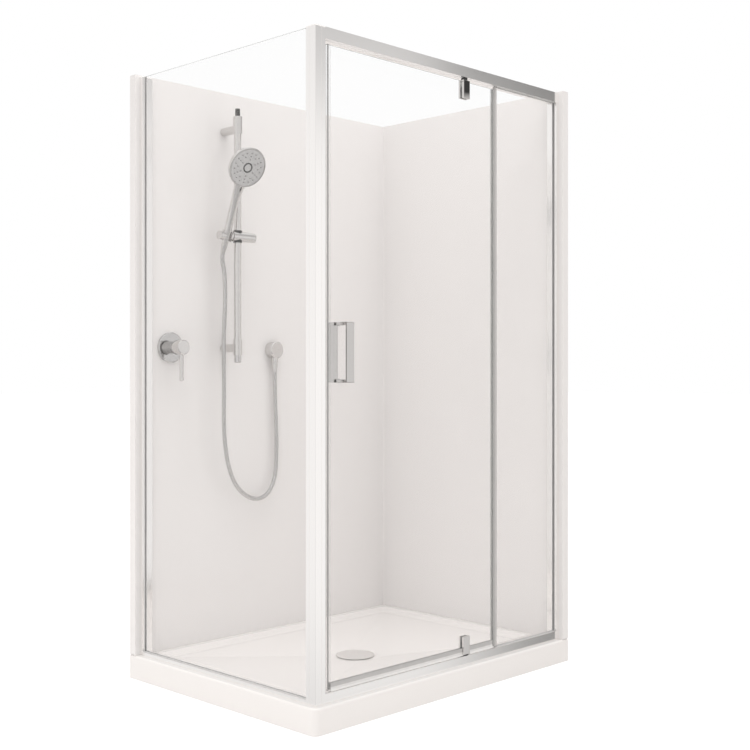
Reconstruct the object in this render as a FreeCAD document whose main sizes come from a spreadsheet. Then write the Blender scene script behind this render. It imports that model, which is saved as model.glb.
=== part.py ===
import FreeCAD, Part
import math
import os
import re
import Sketcher
from FreeCAD import Placement, Rotation, Vector

# Walk-in corner shower: a 1200 x 900 moulded tray, a two-sided wall liner, an aluminium frame
# with a fixed return glass, a pivot door and an inline glass, and a slide-rail shower set.
# Frame: +X along the front from the corner post to the wall, +Y to the rear wall, +Z up.
# The origin is the waste centre at floor level.

SIZES = {
    # tray
    "tray_length": 1200, "tray_width": 900, "tray_rim": 77, "tray_skin": 5,
    "tray_corner_radius": 20, "tray_edge_radius": 6,
    "front_ledge": 62, "wall_ledge": 55, "basin_depth": 10, "basin_slope": 38,
    "basin_corner_radius": 90, "basin_foot_radius": 60, "floor_margin": 18,
    "floor_low": 45, "fall_square": 150, "base_thick": 36,
    # waste
    "waste_hole_radius": 45, "flange_radius": 56, "flange_thick": 2.5, "neck_wall": 3,
    "waste_cup_depth": 24, "spigot_radius": 25, "spigot_wall": 2.5, "gasket_thick": 1,
    "cover_radius": 65, "cover_thick": 2.5, "cover_rise": 4, "cover_lift": 3,
    "strainer_radius": 37, "strainer_depth": 16, "seat_gap": 0.3,
    # walls
    "wall_depth": 30, "wall_over": 6, "liner_skin": 4, "seal_bead": 2, "wall_corner_radius": 4,
    # frame
    "frame_inset": 17, "frame_top": 1980, "post_width": 39, "gauge": 1.8, "glass_inset": 12,
    "glass_thick": 6, "groove_width": 10, "post_groove": 14, "strike_width": 8, "strike_depth": 5,
    "shadow_offset": 24, "shadow_width": 1.4, "shadow_depth": 1, "post_round": 3,
    "channel_reach": 16, "channel_groove": 13, "rail_groove": 12, "head_height": 34,
    "sill_height": 30, "side_sill_height": 13, "side_sill_width": 24, "cap_thick": 3,
    "gasket_web": 1, "gasket_proud": 2, "infill_skin": 3, "infill_leg": 8,
    "screw_radius": 2.2, "screw_head_radius": 4, "screw_reach": 24,
    # door
    "post_gap": 20, "panel_gap": 11, "panel_width": 327, "door_top_gap": 11, "door_foot": 114,
    "pivot_inset": 143, "closing_seal": 17, "tail_seal": 11.5, "edge_seal": 10.5,
    "seal_wall": 3, "seal_grip": 6, "drip_grip": 17, "drip_wall": 2, "drip_clear": 1.5, "strike_reach": 8,
    # pivot clamps
    "clamp_width": 31, "clamp_height": 58, "clamp_thick": 7, "pad_thick": 1, "notch_width": 24,
    "notch_height": 18, "clamp_over": 3, "pin_radius": 3, "pin_fit": 0.05, "pin_grip": 14,
    "bush_radius": 8, "top_collar_radius": 10, "foot_collar_radius": 13,
    "foot_collar_thick": 2.2, "clamp_screw_radius": 2.5, "clamp_screw_head": 4.5,
    "clamp_screw_side": 8, "clamp_screw_up": 12,
    "clamp_round": 1.5,
    # door handles
    "handle_inset": 46, "handle_z": 1066, "handle_length": 172, "handle_arm": 9,
    "outer_width": 30, "outer_reach": 42, "outer_grip": 4, "inner_width": 36,
    "inner_reach": 27, "inner_grip": 5, "handle_round": 2, "bolt_radius": 3, "bolt_hole": 6,
    "bolt_grip": 12,
    # slide rail
    "rail_inset": 348, "rail_standoff": 79, "rail_radius": 13, "rail_wall": 1.2,
    "rail_head_room": 100, "collar_radius": 16, "arm_radius": 14.5,
    "lower_arm_z": 1091, "upper_arm_down": 132, "collar_short": 15, "collar_long": 43,
    "lower_collar_down": 24, "lower_collar_up": 30, "end_cap_length": 27, "top_cap_radius": 8.5,
    "bottom_cap_radius": 12.5, "bracket_screw_radius": 3,
    # slider
    "slider_z": 1476, "slider_radius": 18, "slider_left": 26, "slider_right": 42,
    "liner_fit": 0.06, "liner_wall": 2, "liner_proud": 3, "knob_length": 31, "knob_radius": 17,
    "spindle_radius": 5, "spindle_fit": 0.05, "spindle_reach": 22, "cradle_reach": 9,
    # handset and its cradle
    "cradle_offset": 48, "cradle_tail": 33, "cradle_radius": 19, "cradle_height": 34, "cradle_hub": 15,
    "cradle_slot": 17, "socket_top": 13.5, "socket_foot": 11.6, "socket_gap": 0.35, "tilt": 21,
    "handset_tail": 10, "handle_top_radius": 14, "neck_low": 120, "neck_high": 165,
    "head_rise": 249, "head_offset": 33, "handset_turn": 6, "head_nod": 6,
    "neck_low_deep": 13.6, "neck_mid_wide": 18.2, "neck_mid_deep": 12.6, "neck_top_wide": 28,
    "neck_top_deep": 8.1, "neck_sink": 34.5,
    "head_radius": 69, "head_thick": 27, "rim_thick": 7, "rim_bevel": 1.5, "face_radius": 62,
    "face_thick": 3,
    "nozzle_radius": 1.7, "nozzle_proud": 1.5, "ring_radius": 17.5, "ring_width": 5,
    # hose
    "hose_radius": 7.5, "nut_length": 32, "nut_radius": 11, "nut_foot_radius": 8.5,
    "nut_taper": 22, "hose_grip": 18,
    # wall outlet
    "outlet_inset": 567, "outlet_z": 1088, "outlet_radius": 30, "outlet_reach": 36,
    "outlet_stub_radius": 12.5, "outlet_stub_length": 16, "outlet_stub_y": 20,
    "waterway_radius": 5, "neck_way_radius": 4, "nipple_radius": 10.5, "nipple_bore": 7.5,
    "nipple_grip": 8, "pipe_gap": 0.5,
    # mixer
    "mixer_inset": 121.5, "mixer_z": 1091, "plate_radius": 51, "plate_thick": 9, "sleeve_radius": 20.5,
    "sleeve_wall": 2.5, "ball_y": 38, "cap_radius": 24.5, "cap_bore": 21.6, "cap_start": 41,
    "cap_end": 80, "lever_y": 65, "lever_radius": 7, "lever_foot": 113, "body_radius": 17.5,
    "cartridge_radius": 14, "cartridge_face": 18, "dome_mouth": 15, "ball_pin_radius": 2,
    "stem_half": 4, "port_radius": 5.5, "port_depth": 20, "port_side": 8, "edge_round": 3,
    "plate_wall": 4, "yoke_radius": 12, "cheek": 4, "cap_room": 3.5,
}

# Places that follow from the sizes.
PLACES = {
    "front_face": "-tray_width / 2 + frame_inset",
    "left_face": "-tray_length / 2 + frame_inset",
    "rear_wall": "tray_width / 2 - wall_depth",
    "side_wall": "tray_length / 2 - wall_depth",
    "glass_y": "front_face + glass_inset",
    "glass_x": "left_face + glass_inset",
    "glass_half": "glass_thick / 2",
    "post_inner_x": "left_face + post_width",
    "post_inner_y": "front_face + post_width",
    "channel_left_y": "rear_wall - channel_reach",
    "channel_right_x": "side_wall - channel_reach",
    "panel_edge": "channel_right_x - panel_width",
    "door_edge_left": "post_inner_x + post_gap",
    "door_edge_right": "panel_edge - panel_gap",
    "pivot_x": "door_edge_right - pivot_inset",
    "handle_x": "door_edge_left + handle_inset",
    "sill_top": "tray_rim + sill_height",
    "head_foot": "frame_top - head_height",
    "wall_top": "frame_top + wall_over",
    "upper_arm_z": "frame_top - upper_arm_down",
    "door_head": "head_foot - door_top_gap",
    "liner_foot": "tray_rim + seal_bead",
    "basin_left": "-tray_length / 2 + front_ledge",
    "basin_right": "tray_length / 2 - wall_ledge",
    "basin_front": "-tray_width / 2 + front_ledge",
    "basin_rear": "tray_width / 2 - wall_ledge",
    "basin_floor": "tray_rim - basin_depth",
    "rail_x": "left_face + rail_inset",
    "rail_y": "rear_wall - rail_standoff",
    "outlet_x": "left_face + outlet_inset",
    "mixer_x": "left_face + mixer_inset",
    "top_clamp_z": "door_head + clamp_over - clamp_height",
    "foot_clamp_z": "sill_top + foot_collar_thick + seat_gap",
    "clamp_half": "glass_half + pad_thick",
    "handle_low_z": "handle_z - handle_length / 2 + handle_arm / 2",
    "handle_high_z": "handle_z + handle_length / 2 - handle_arm / 2",
    "cradle_x": "rail_x - cradle_offset",
    "nut_top": "-cradle_height / 2 - handset_tail",
    "outlet_y": "rear_wall - outlet_stub_y",
    "outlet_nut_z": "outlet_z - outlet_radius - outlet_stub_length",
}

doc = FreeCAD.newDocument("shower_enclosure")
sheet = doc.addObject("Spreadsheet::Sheet", "sizes")
for row, (name, number) in enumerate(SIZES.items(), start=1):
    sheet.set("A%d" % row, name)
    sheet.set("B%d" % row, str(number))
    sheet.setAlias("B%d" % row, name)
for row, (name, formula) in enumerate(PLACES.items(), start=1):
    sheet.set("D%d" % row, name)
    sheet.set("E%d" % row, "=" + formula)
    sheet.setAlias("E%d" % row, name)
doc.recompute()

NAMES = set(SIZES) | set(PLACES)
nodes = {}


def linked(text):
    """A formula on the sheet's names, as an expression that any object can hold."""
    return re.sub(r"[a-z]\w*", lambda found: "sizes." + found[0] if found[0] in NAMES
                  else found[0], str(text))


def value(text):
    """The number that a formula on the sheet's names gives now."""
    return float(sheet.evalExpression(linked(text)))


def bind(thing, **formulas):
    """Tie properties of an object to formulas on the sheet."""
    for name, text in formulas.items():
        thing.setExpression(name, linked(text))
    return thing


def place(thing, at, rotation=None):
    """Put an object at a point given by three formulas, turned by a fixed rotation."""
    thing.Placement = Placement(Vector(), rotation or Rotation())
    for axis, text in zip("xyz", at):
        thing.setExpression("Placement.Base." + axis, linked(text))
    return thing


AXES = {"x": Vector(1, 0, 0), "y": Vector(0, 1, 0), "z": Vector(0, 0, 1),
        "-x": Vector(-1, 0, 0), "-y": Vector(0, -1, 0), "-z": Vector(0, 0, -1)}


def turned_to(along, up):
    """The rotation that brings local Z to one world axis and local Y to another."""
    return Rotation(Vector(), AXES[up], AXES[along], "ZYX")


def keep(label, thing):
    """Name an object as one of the finished pieces."""
    thing.Label = label
    nodes[label] = thing
    return thing


def box(name, size, at):
    solid = bind(doc.addObject("Part::Box", name), Length=size[0], Width=size[1], Height=size[2])
    return place(solid, at)


def rod(name, radius, length, at, along="z"):
    """A round bar that starts at a point and runs along a world axis."""
    solid = bind(doc.addObject("Part::Cylinder", name), Radius=radius, Height=length)
    return place(solid, at, Rotation(AXES["z"], AXES[along]))


def cone(name, start_radius, end_radius, length, at, along="z"):
    solid = bind(doc.addObject("Part::Cone", name), Radius1=start_radius, Radius2=end_radius,
                 Height=length)
    return place(solid, at, Rotation(AXES["z"], AXES[along]))


def fuse(name, *solids):
    joined = doc.addObject("Part::MultiFuse", name)
    joined.Shapes = list(solids)
    joined.Refine = True
    return joined


def cut(name, base, *tools):
    """A solid less one or more tools."""
    result = doc.addObject("Part::Cut", name)
    result.Base = base
    result.Tool = tools[0] if len(tools) == 1 else fuse(name + "_tools", *tools)
    result.Refine = True
    return result


def group(label, *solids):
    """Several separate solids that share one name."""
    together = doc.addObject("Part::Compound", label)
    together.Links = list(solids)
    return keep(label, together)


def outline(body, name, loops):
    """A sketch on the body's XY plane whose corners are formulas on the sheet."""
    sketch = body.newObject("Sketcher::SketchObject", name)
    plane = [item for item in body.Origin.OriginFeatures if item.Role == "XY_Plane"][0]
    sketch.AttachmentSupport = [(plane, "")]
    sketch.MapMode = "FlatFace"
    for loop in loops:
        corners = [Vector(value(x), value(y), 0) for x, y in loop]
        first = sketch.GeometryCount
        count = len(corners)
        for index in range(count):
            line = Part.LineSegment(corners[index], corners[(index + 1) % count])
            sketch.addGeometry(line, False)
        for index in range(count):
            after = first + (index + 1) % count
            sketch.addConstraint(Sketcher.Constraint("Coincident", first + index, 2, after, 1))
        for index, (x, y) in enumerate(loop):
            for kind, text, number in (("DistanceX", x, corners[index].x),
                                       ("DistanceY", y, corners[index].y)):
                rule = Sketcher.Constraint(kind, -1, 1, first + index, 1, number)
                sketch.setExpression("Constraints[%d]" % sketch.addConstraint(rule), linked(text))
    return sketch


def extrusion(name, loops, length, at, along="z", up="y"):
    """A profile drawn in (across, up) and run along a world axis."""
    body = doc.addObject("PartDesign::Body", name)
    pad = body.newObject("PartDesign::Pad", name + "_pad")
    pad.Profile = outline(body, name + "_profile", loops)
    bind(pad, Length=length)
    return place(body, at, turned_to(along, up))


def turning(name, loop, at, along="z"):
    """A profile drawn in (radius, height) and turned about its height axis."""
    body = doc.addObject("PartDesign::Body", name)
    sketch = outline(body, name + "_profile", [loop])
    turn = body.newObject("PartDesign::Revolution", name + "_turn")
    turn.Profile = sketch
    turn.ReferenceAxis = (sketch, ["V_Axis"])
    turn.Angle = 360
    upright = Rotation(AXES["z"], AXES[along]) * Rotation(AXES["x"], 90)
    return place(body, at, upright)


def round_edges(name, base, radius, chosen):
    """Round those edges of a solid for which the test on the edge is true."""
    doc.recompute()
    size = value(radius)
    rounded = doc.addObject("Part::Fillet", name)
    rounded.Base = base
    rounded.Edges = [(number, size, size) for number, edge in enumerate(base.Shape.Edges, start=1)
                     if chosen(edge)]
    return rounded


def runs_along(edge, axis):
    """True for a straight edge parallel to a world axis."""
    if edge.Curve.TypeId != "Part::GeomLine":
        return False
    return edge.Curve.Direction.cross(AXES[axis]).Length < 1e-6


# Shower tray: a moulded acrylic shell with a skirt, a flat ledge for the frame and the walls,
# and a basin whose floor falls to the waste. The front corner and the outer rim are rounded.

tray_block = box("tray_block", ("tray_length", "tray_width", "tray_rim"),
                 ("-tray_length / 2", "-tray_width / 2", "0"))
front_corner = Vector(-value("tray_length") / 2, -value("tray_width") / 2, 0)


def front_left(edge):
    """True for the upright edge at the free front corner of a block."""
    middle = edge.BoundBox.Center
    return runs_along(edge, "z") and middle.x < 0 and middle.y < 0


tray_block = round_edges("tray_corner", tray_block, "tray_corner_radius", front_left)
tray_block = round_edges("tray_rim_round", tray_block, "tray_edge_radius",
                         lambda edge: edge.BoundBox.ZMin > value("tray_rim") - 0.1
                         and (edge.BoundBox.Center.x < front_corner.x + value("tray_corner_radius")
                              or edge.BoundBox.Center.y < front_corner.y
                              + value("tray_corner_radius")))


def tapered(name, low, high, foot, head, inset):
    """A block that narrows downwards: a rectangle at the head, less an inset at the foot."""
    wedge = doc.addObject("Part::Wedge", name)
    bind(wedge, Ymin="0", Ymax=head + " - (" + foot + ")",
         X2min=low[0], X2max=high[0], Z2min="-(" + high[1] + ")", Z2max="-(" + low[1] + ")",
         Xmin=low[0] + " + " + inset, Xmax=high[0] + " - (" + inset + ")",
         Zmin="-(" + high[1] + ") + " + inset, Zmax="-(" + low[1] + ") - (" + inset + ")")
    return place(wedge, ("0", "0", foot), Rotation(AXES["x"], 90))


basin_low = ("basin_left", "basin_front")
basin_high = ("basin_right", "basin_rear")
basin = tapered("basin", basin_low, basin_high, "basin_floor", "tray_rim", "basin_slope")
basin = round_edges("basin_corners", basin, "basin_corner_radius",
                    lambda edge: edge.BoundBox.ZLength > value("basin_depth") - 0.1)
basin = round_edges("basin_foot", basin, "basin_foot_radius",
                    lambda edge: edge.BoundBox.ZMax < value("basin_floor") + 0.1)
fall_margin = "(basin_slope + floor_margin)"
falls = doc.addObject("Part::Wedge", "falls")
bind(falls, Ymin="0", Ymax="basin_floor - floor_low + 0.01",
     X2min="basin_left + " + fall_margin, X2max="basin_right - " + fall_margin,
     Z2min="-basin_rear + " + fall_margin, Z2max="-basin_front - " + fall_margin,
     Xmin="-fall_square / 2", Xmax="fall_square / 2",
     Zmin="-fall_square / 2", Zmax="fall_square / 2")
place(falls, ("0", "0", "floor_low"), Rotation(AXES["x"], 90))
hollow_size = ("tray_length - 2 * tray_skin", "tray_width - 2 * tray_skin", "base_thick")
hollow_corner = ("-tray_length / 2 + tray_skin", "-tray_width / 2 + tray_skin", "0")
base_hollow = round_edges("base_hollow_corner", box("base_hollow", hollow_size, hollow_corner),
                          "tray_corner_radius - tray_skin", front_left)
rim_block = box("rim_block", hollow_size[:2] + ("tray_rim - tray_skin - base_thick",),
                hollow_corner[:2] + ("base_thick",))
rim_block = round_edges("rim_block_corner", rim_block, "tray_corner_radius - tray_skin", front_left)
rim_core = box("rim_core", ("basin_right - basin_left + 2 * tray_skin",
                            "basin_rear - basin_front + 2 * tray_skin", "tray_rim"),
               ("basin_left - tray_skin", "basin_front - tray_skin", "0"))
rim_hollow = cut("rim_hollow", rim_block, rim_core)
waste_hole = rod("waste_hole", "waste_hole_radius", "tray_rim", ("0", "0", "0"))
flange_seat = rod("flange_seat", "flange_radius + seat_gap", "tray_rim",
                  ("0", "0", "floor_low - flange_thick"))
keep("shower_tray", cut("shower_tray", tray_block, basin, falls, base_hollow, rim_hollow,
                        waste_hole, flange_seat))

# Foam support block bonded under the tray floor, cut out round the waste.
base_block = box("base_block", ("tray_length - 2 * tray_skin - 2 * pipe_gap",
                                "tray_width - 2 * tray_skin - 2 * pipe_gap", "base_thick"),
                 ("-tray_length / 2 + tray_skin + pipe_gap",
                  "-tray_width / 2 + tray_skin + pipe_gap", "0"))
base_block = round_edges("base_corner", base_block, "tray_corner_radius - tray_skin - pipe_gap",
                         front_left)
base_hole = rod("base_hole", "flange_radius + tray_skin", "base_thick", ("0", "0", "0"))
keep("tray_base", cut("tray_base", base_block, base_hole))

# Waste: a flange with a neck drops through the tray and screws into a cup below it, with a
# gasket on the underside. The cup necks down to an outlet spigot that ends at floor level.
cup_top = "base_thick - gasket_thick"
neck_outer = "waste_hole_radius - seat_gap"
neck_inner = "(waste_hole_radius - seat_gap - neck_wall)"
keep("waste_flange", turning("waste_flange", [
    (neck_inner, "base_thick - waste_cup_depth / 2"), (neck_outer, "base_thick - waste_cup_depth / 2"),
    (neck_outer, "floor_low - flange_thick"), ("flange_radius", "floor_low - flange_thick"),
    ("flange_radius", "floor_low - flange_thick / 3"),
    ("flange_radius - flange_thick / 2", "floor_low"), (neck_inner, "floor_low")],
    ("0", "0", "0")))
cup_outer = "waste_hole_radius + neck_wall"
cup_floor = "(base_thick - waste_cup_depth)"
keep("waste_body", turning("waste_body", [
    ("spigot_radius - spigot_wall", "0"), ("spigot_radius", "0"),
    ("spigot_radius", cup_floor + " - neck_wall"), (cup_outer, cup_floor),
    (cup_outer, cup_top + " - neck_wall"), ("flange_radius", cup_top + " - neck_wall"),
    ("flange_radius", cup_top), (neck_outer, cup_top), (neck_outer, cup_floor + " + neck_wall"),
    ("spigot_radius - spigot_wall", cup_floor + " + neck_wall / 2")], ("0", "0", "0")))
keep("waste_gasket", turning("waste_gasket", [
    (neck_outer, cup_top), ("flange_radius", cup_top), ("flange_radius", "base_thick"),
    (neck_outer, "base_thick")], ("0", "0", "0")))

# Domed waste cover on four feet, with a hair strainer on its stem. Both lift out together.
cover_foot = "(floor_low + cover_lift)"
cover_dome = turning("cover_dome", [
    ("0", cover_foot + " + cover_rise - cover_thick / 2"),
    ("cover_radius * 0.6", cover_foot + " + cover_rise * 0.7 - cover_thick / 2"),
    ("cover_radius - cover_thick", cover_foot), ("cover_radius", cover_foot),
    ("cover_radius", cover_foot + " + cover_thick * 0.5"),
    ("cover_radius * 0.85", cover_foot + " + cover_thick * 0.5 + cover_rise * 0.5"),
    ("cover_radius * 0.5", cover_foot + " + cover_thick * 0.5 + cover_rise * 0.87"),
    ("0", cover_foot + " + cover_thick * 0.5 + cover_rise")], ("0", "0", "0"))
feet = []
for quarter in range(4):
    turn = math.radians(45 + 90 * quarter)
    reach = "(flange_radius - 2 * neck_wall)"
    feet.append(rod("cover_foot_%d" % (quarter + 1), "neck_wall", "cover_lift + cover_thick / 2",
                    ("%s * %.6f" % (reach, math.cos(turn)), "%s * %.6f" % (reach, math.sin(turn)),
                     "floor_low + seat_gap")))
cover_stem = rod("cover_stem", "neck_wall", "strainer_depth + cover_lift + cover_thick",
                 ("0", "0", "floor_low - strainer_depth + gasket_thick"))
keep("waste_cover", fuse("waste_cover", cover_dome, cover_stem, *feet))
basket = turning("basket", [
    ("neck_wall", "floor_low - strainer_depth"), ("strainer_radius * 0.8", "floor_low - strainer_depth"),
    ("strainer_radius", "floor_low - gasket_thick"), ("strainer_radius - 1.5", "floor_low - gasket_thick"),
    ("strainer_radius * 0.8 - 1.5", "floor_low - strainer_depth + gasket_thick"),
    ("neck_wall", "floor_low - strainer_depth + gasket_thick")], ("0", "0", "0"))
slots = []
for number in range(8):
    turn = math.radians(45 * number)
    slots.append(rod("basket_hole_%d" % (number + 1), "neck_wall", "2 * gasket_thick",
                     ("strainer_radius * 0.5 * %.6f" % math.cos(turn),
                      "strainer_radius * 0.5 * %.6f" % math.sin(turn),
                      "floor_low - strainer_depth - gasket_thick / 2")))
keep("waste_strainer", cut("waste_strainer", basket, *slots))

# Fixings through the walls: where each screw or pipe passes, and how deep.
screw_heights = ["tray_rim + 0.12 * (frame_top - tray_rim)", "tray_rim + 0.5 * (frame_top - tray_rim)",
                 "tray_rim + 0.88 * (frame_top - tray_rim)"]
left_screw_y = "channel_left_y + channel_groove"
right_screw_x = "channel_right_x + channel_groove"


def wall_screw(name, height, along):
    """A countersunk screw from a channel's groove into the wall."""
    start = ("glass_x", left_screw_y, height) if along == "y" else (right_screw_x, "glass_y", height)
    shank = rod(name + "_shank", "screw_radius", "screw_reach", start, along)
    return fuse(name, shank, cone(name + "_head", "screw_head_radius", "screw_radius",
                                  "screw_radius", start, along))


screws = {along: [wall_screw("%s_screw_%d" % (side, number), height, along)
                  for number, height in enumerate(screw_heights, start=1)]
          for along, side in (("y", "left"), ("x", "right"))}


def wall_hole(name, radius, at_x, at_z):
    """A round hole through the rear wall."""
    return rod(name, radius, "wall_depth + 2", (at_x, "rear_wall - 1", at_z), "y")


rear_holes = [wall_hole("mixer_hole", "body_radius + pipe_gap", "mixer_x", "mixer_z"),
              wall_hole("nipple_hole", "nipple_radius + pipe_gap", "outlet_x", "outlet_z"),
              wall_hole("lower_bracket_hole", "bracket_screw_radius", "rail_x", "lower_arm_z"),
              wall_hole("upper_bracket_hole", "bracket_screw_radius", "rail_x", "upper_arm_z")]

# Wall liner: one moulded acrylic sheet over both walls, with a soft inner corner and its edges
# turned back to the building wall. Rigid boards fill it and carry the fixings.
liner_loop = [("-tray_length / 2", "rear_wall"), ("side_wall", "rear_wall"),
              ("side_wall", "-tray_width / 2"), ("tray_length / 2", "-tray_width / 2"),
              ("tray_length / 2", "tray_width / 2"), ("-tray_length / 2", "tray_width / 2")]
liner_block = extrusion("liner_block", [liner_loop], "wall_top - liner_foot", ("0", "0", "liner_foot"))
liner_block = round_edges("liner_corner", liner_block, "wall_corner_radius",
                          lambda edge: runs_along(edge, "z")
                          and abs(edge.BoundBox.Center.x - value("side_wall")) < 0.1
                          and abs(edge.BoundBox.Center.y - value("rear_wall")) < 0.1)


def board(name, spare):
    """The two boards behind the liner, with some spare depth when they cut its hollow."""
    foot = "liner_foot + liner_skin"
    tall = "wall_top - liner_foot - 2 * liner_skin"
    rear = box(name + "_rear", ("tray_length - liner_skin + " + spare,
                                "wall_depth - liner_skin + " + spare, tall),
               ("-tray_length / 2 + liner_skin", "rear_wall + liner_skin", foot))
    side = box(name + "_side", ("wall_depth - liner_skin + " + spare,
                                "tray_width - wall_depth", tall),
               ("side_wall + liner_skin", "-tray_width / 2 + liner_skin", foot))
    return rear, side


hollow_rear, hollow_side = board("liner_hollow", "1")
keep("wall_liner", cut("wall_liner", liner_block, hollow_rear, hollow_side,
                       *(rear_holes + screws["x"] + screws["y"])))
board_rear, board_side = board("wall_board", "0")
group("wall_backing", cut("backing_rear", board_rear, *(rear_holes + screws["y"])),
      cut("backing_side", board_side, *screws["x"]))

# Bead of sealant between the tray ledge and the liner's foot.
bead_loop = [("-tray_length / 2", "rear_wall"), ("side_wall", "rear_wall"),
             ("side_wall", "-tray_width / 2"), ("side_wall + liner_skin", "-tray_width / 2"),
             ("side_wall + liner_skin", "rear_wall + liner_skin"),
             ("-tray_length / 2", "rear_wall + liner_skin")]
keep("wall_seal", extrusion("wall_seal", [bead_loop], "seal_bead", ("0", "0", "tray_rim")))

# Corner post: a hollow aluminium extrusion with a glazing groove for the return glass, a small
# groove for the strike seal and a shadow line on both outer faces.
low_lip = "glass_inset - groove_width / 2"
high_lip = "glass_inset + groove_width / 2"
groove_end = "post_width - post_groove"
strike_low = "glass_inset - strike_width / 2"
strike_high = "glass_inset + strike_width / 2"
shadow_end = "shadow_offset + shadow_width"
post_loop = [
    ("0", "0"), ("shadow_offset", "0"), ("shadow_offset", "shadow_depth"),
    (shadow_end, "shadow_depth"), (shadow_end, "0"), ("post_width", "0"),
    ("post_width", strike_low), ("post_width - strike_depth", strike_low),
    ("post_width - strike_depth", strike_high), ("post_width", strike_high),
    ("post_width", "post_width"), (high_lip, "post_width"), (high_lip, groove_end),
    (low_lip, groove_end), (low_lip, "post_width"), ("0", "post_width"),
    ("0", shadow_end), ("shadow_depth", shadow_end), ("shadow_depth", "shadow_offset"),
    ("0", "shadow_offset")]
post_hollows = [
    [("gauge", "gauge"), ("post_width - strike_depth - gauge", "gauge"),
     ("post_width - strike_depth - gauge", groove_end + " - gauge"), ("gauge", groove_end + " - gauge")],
    [(high_lip + " + gauge", groove_end), ("post_width - gauge", groove_end),
     ("post_width - gauge", "post_width - gauge"), (high_lip + " + gauge", "post_width - gauge")]]
post_corner = ("left_face", "front_face")
frame_run = "frame_top - cap_thick - tray_rim"


def outer_corner(edge):
    """The post's upright edge at the outer corner."""
    middle = edge.BoundBox.Center
    return (runs_along(edge, "z") and abs(middle.x - value("left_face")) < 0.1
            and abs(middle.y - value("front_face")) < 0.1)


post_blank = extrusion("post_blank", [post_loop] + post_hollows, frame_run, post_corner + ("tray_rim",))
keep("corner_post", round_edges("corner_post", post_blank, "post_round * 0.6", outer_corner))

# Wall channels: the same U extrusion on both walls, its groove holding the glass edge.
channel_loop = [("0", "0"), (low_lip, "0"), (low_lip, "channel_groove"), (high_lip, "channel_groove"),
                (high_lip, "0"), ("post_width", "0"), ("post_width", "channel_reach"),
                ("0", "channel_reach")]
channel_hollow = [(high_lip + " + gauge", "gauge"), ("post_width - gauge", "gauge"),
                  ("post_width - gauge", "channel_reach - gauge"),
                  (high_lip + " + gauge", "channel_reach - gauge")]


def flipped(loop):
    """The same loop with its two directions exchanged."""
    return [(y, x) for x, y in reversed(loop)]


left_blank = extrusion("left_channel_blank", [channel_loop, channel_hollow], frame_run,
                       ("left_face", "channel_left_y", "tray_rim"))
keep("left_wall_channel", cut("left_wall_channel", left_blank, *screws["y"]))
right_blank = extrusion("right_channel_blank", [flipped(channel_loop), flipped(channel_hollow)],
                        "head_foot - sill_top", ("channel_right_x", "front_face", "sill_top"))
keep("right_wall_channel", cut("right_wall_channel", right_blank, *screws["x"]))
cap_top = "frame_top - cap_thick"
post_cap = extrusion("post_cap_blank", [post_loop], "cap_thick", post_corner + (cap_top,))
channel_cap = extrusion("channel_cap", [channel_loop], "cap_thick",
                        ("left_face", "channel_left_y", cap_top))
group("frame_caps", round_edges("post_cap", post_cap, "post_round * 0.6", outer_corner), channel_cap)
group("channel_screws", *(screws["x"] + screws["y"]))

# Head and sill rails: hollow extrusions with a glazing groove that faces the opening. Beside
# the door a snap-in strip closes the groove, bored for the pivot bush.
rail_span = "side_wall - post_inner_x"


def rail_loops(tall, groove_up):
    """Outline and two hollows of a rail, with its groove in the top or in the underside."""
    def level(text):
        return "(" + tall + ") - (" + text + ")" if groove_up else text
    outer = [("0", level("0")), (low_lip, level("0")), (low_lip, level("rail_groove")),
             (high_lip, level("rail_groove")), (high_lip, level("0")), ("post_width", level("0")),
             ("post_width", level(tall)), ("0", level(tall))]
    wide = [("gauge", level("rail_groove + gauge")), ("post_width - gauge", level("rail_groove + gauge")),
            ("post_width - gauge", level(tall + " - gauge")), ("gauge", level(tall + " - gauge"))]
    narrow = [(high_lip + " + gauge", level("gauge")), ("post_width - gauge", level("gauge")),
              ("post_width - gauge", level("rail_groove")), (high_lip + " + gauge", level("rail_groove"))]
    return [outer, wide, narrow]


head_blank = extrusion("head_blank", rail_loops("head_height", False), rail_span,
                       ("post_inner_x", "front_face", "head_foot"), "x", "z")
sill_blank = extrusion("sill_blank", rail_loops("sill_height", True), rail_span,
                       ("post_inner_x", "front_face", "tray_rim"), "x", "z")
head_hole = rod("head_hole", "bush_radius", "rail_groove", ("pivot_x", "glass_y", "head_foot"))
sill_hole = rod("sill_hole", "bush_radius", "rail_groove", ("pivot_x", "glass_y", "sill_top - rail_groove"))
keep("head_rail", cut("head_rail", head_blank, head_hole))
keep("sill_rail", cut("sill_rail", sill_blank, sill_hole))
infill_loop = [("-groove_width / 2", "0"), ("groove_width / 2", "0"), ("groove_width / 2", "infill_leg"),
               ("groove_width / 2 - gauge", "infill_leg"), ("groove_width / 2 - gauge", "infill_skin"),
               ("-groove_width / 2 + gauge", "infill_skin"), ("-groove_width / 2 + gauge", "infill_leg"),
               ("-groove_width / 2", "infill_leg")]
infill_run = "panel_edge - seal_wall - post_inner_x"
head_strip = extrusion("head_strip", [infill_loop], infill_run,
                       ("post_inner_x", "glass_y", "head_foot"), "x", "z")
sill_strip = extrusion("sill_strip", [infill_loop], infill_run,
                       ("post_inner_x", "glass_y", "sill_top"), "x", "-z")
group("rail_infills", cut("head_infill", head_strip, head_hole), cut("sill_infill", sill_strip, sill_hole))


def u_loop(outer, slot, deep, web):
    """A U that opens upwards: its outer width, slot width, height and floor."""
    return [("-(%s) / 2" % outer, "0"), ("(%s) / 2" % outer, "0"), ("(%s) / 2" % outer, deep),
            ("(%s) / 2" % slot, deep), ("(%s) / 2" % slot, web), ("-(%s) / 2" % slot, web),
            ("-(%s) / 2" % slot, deep), ("-(%s) / 2" % outer, deep)]


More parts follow.
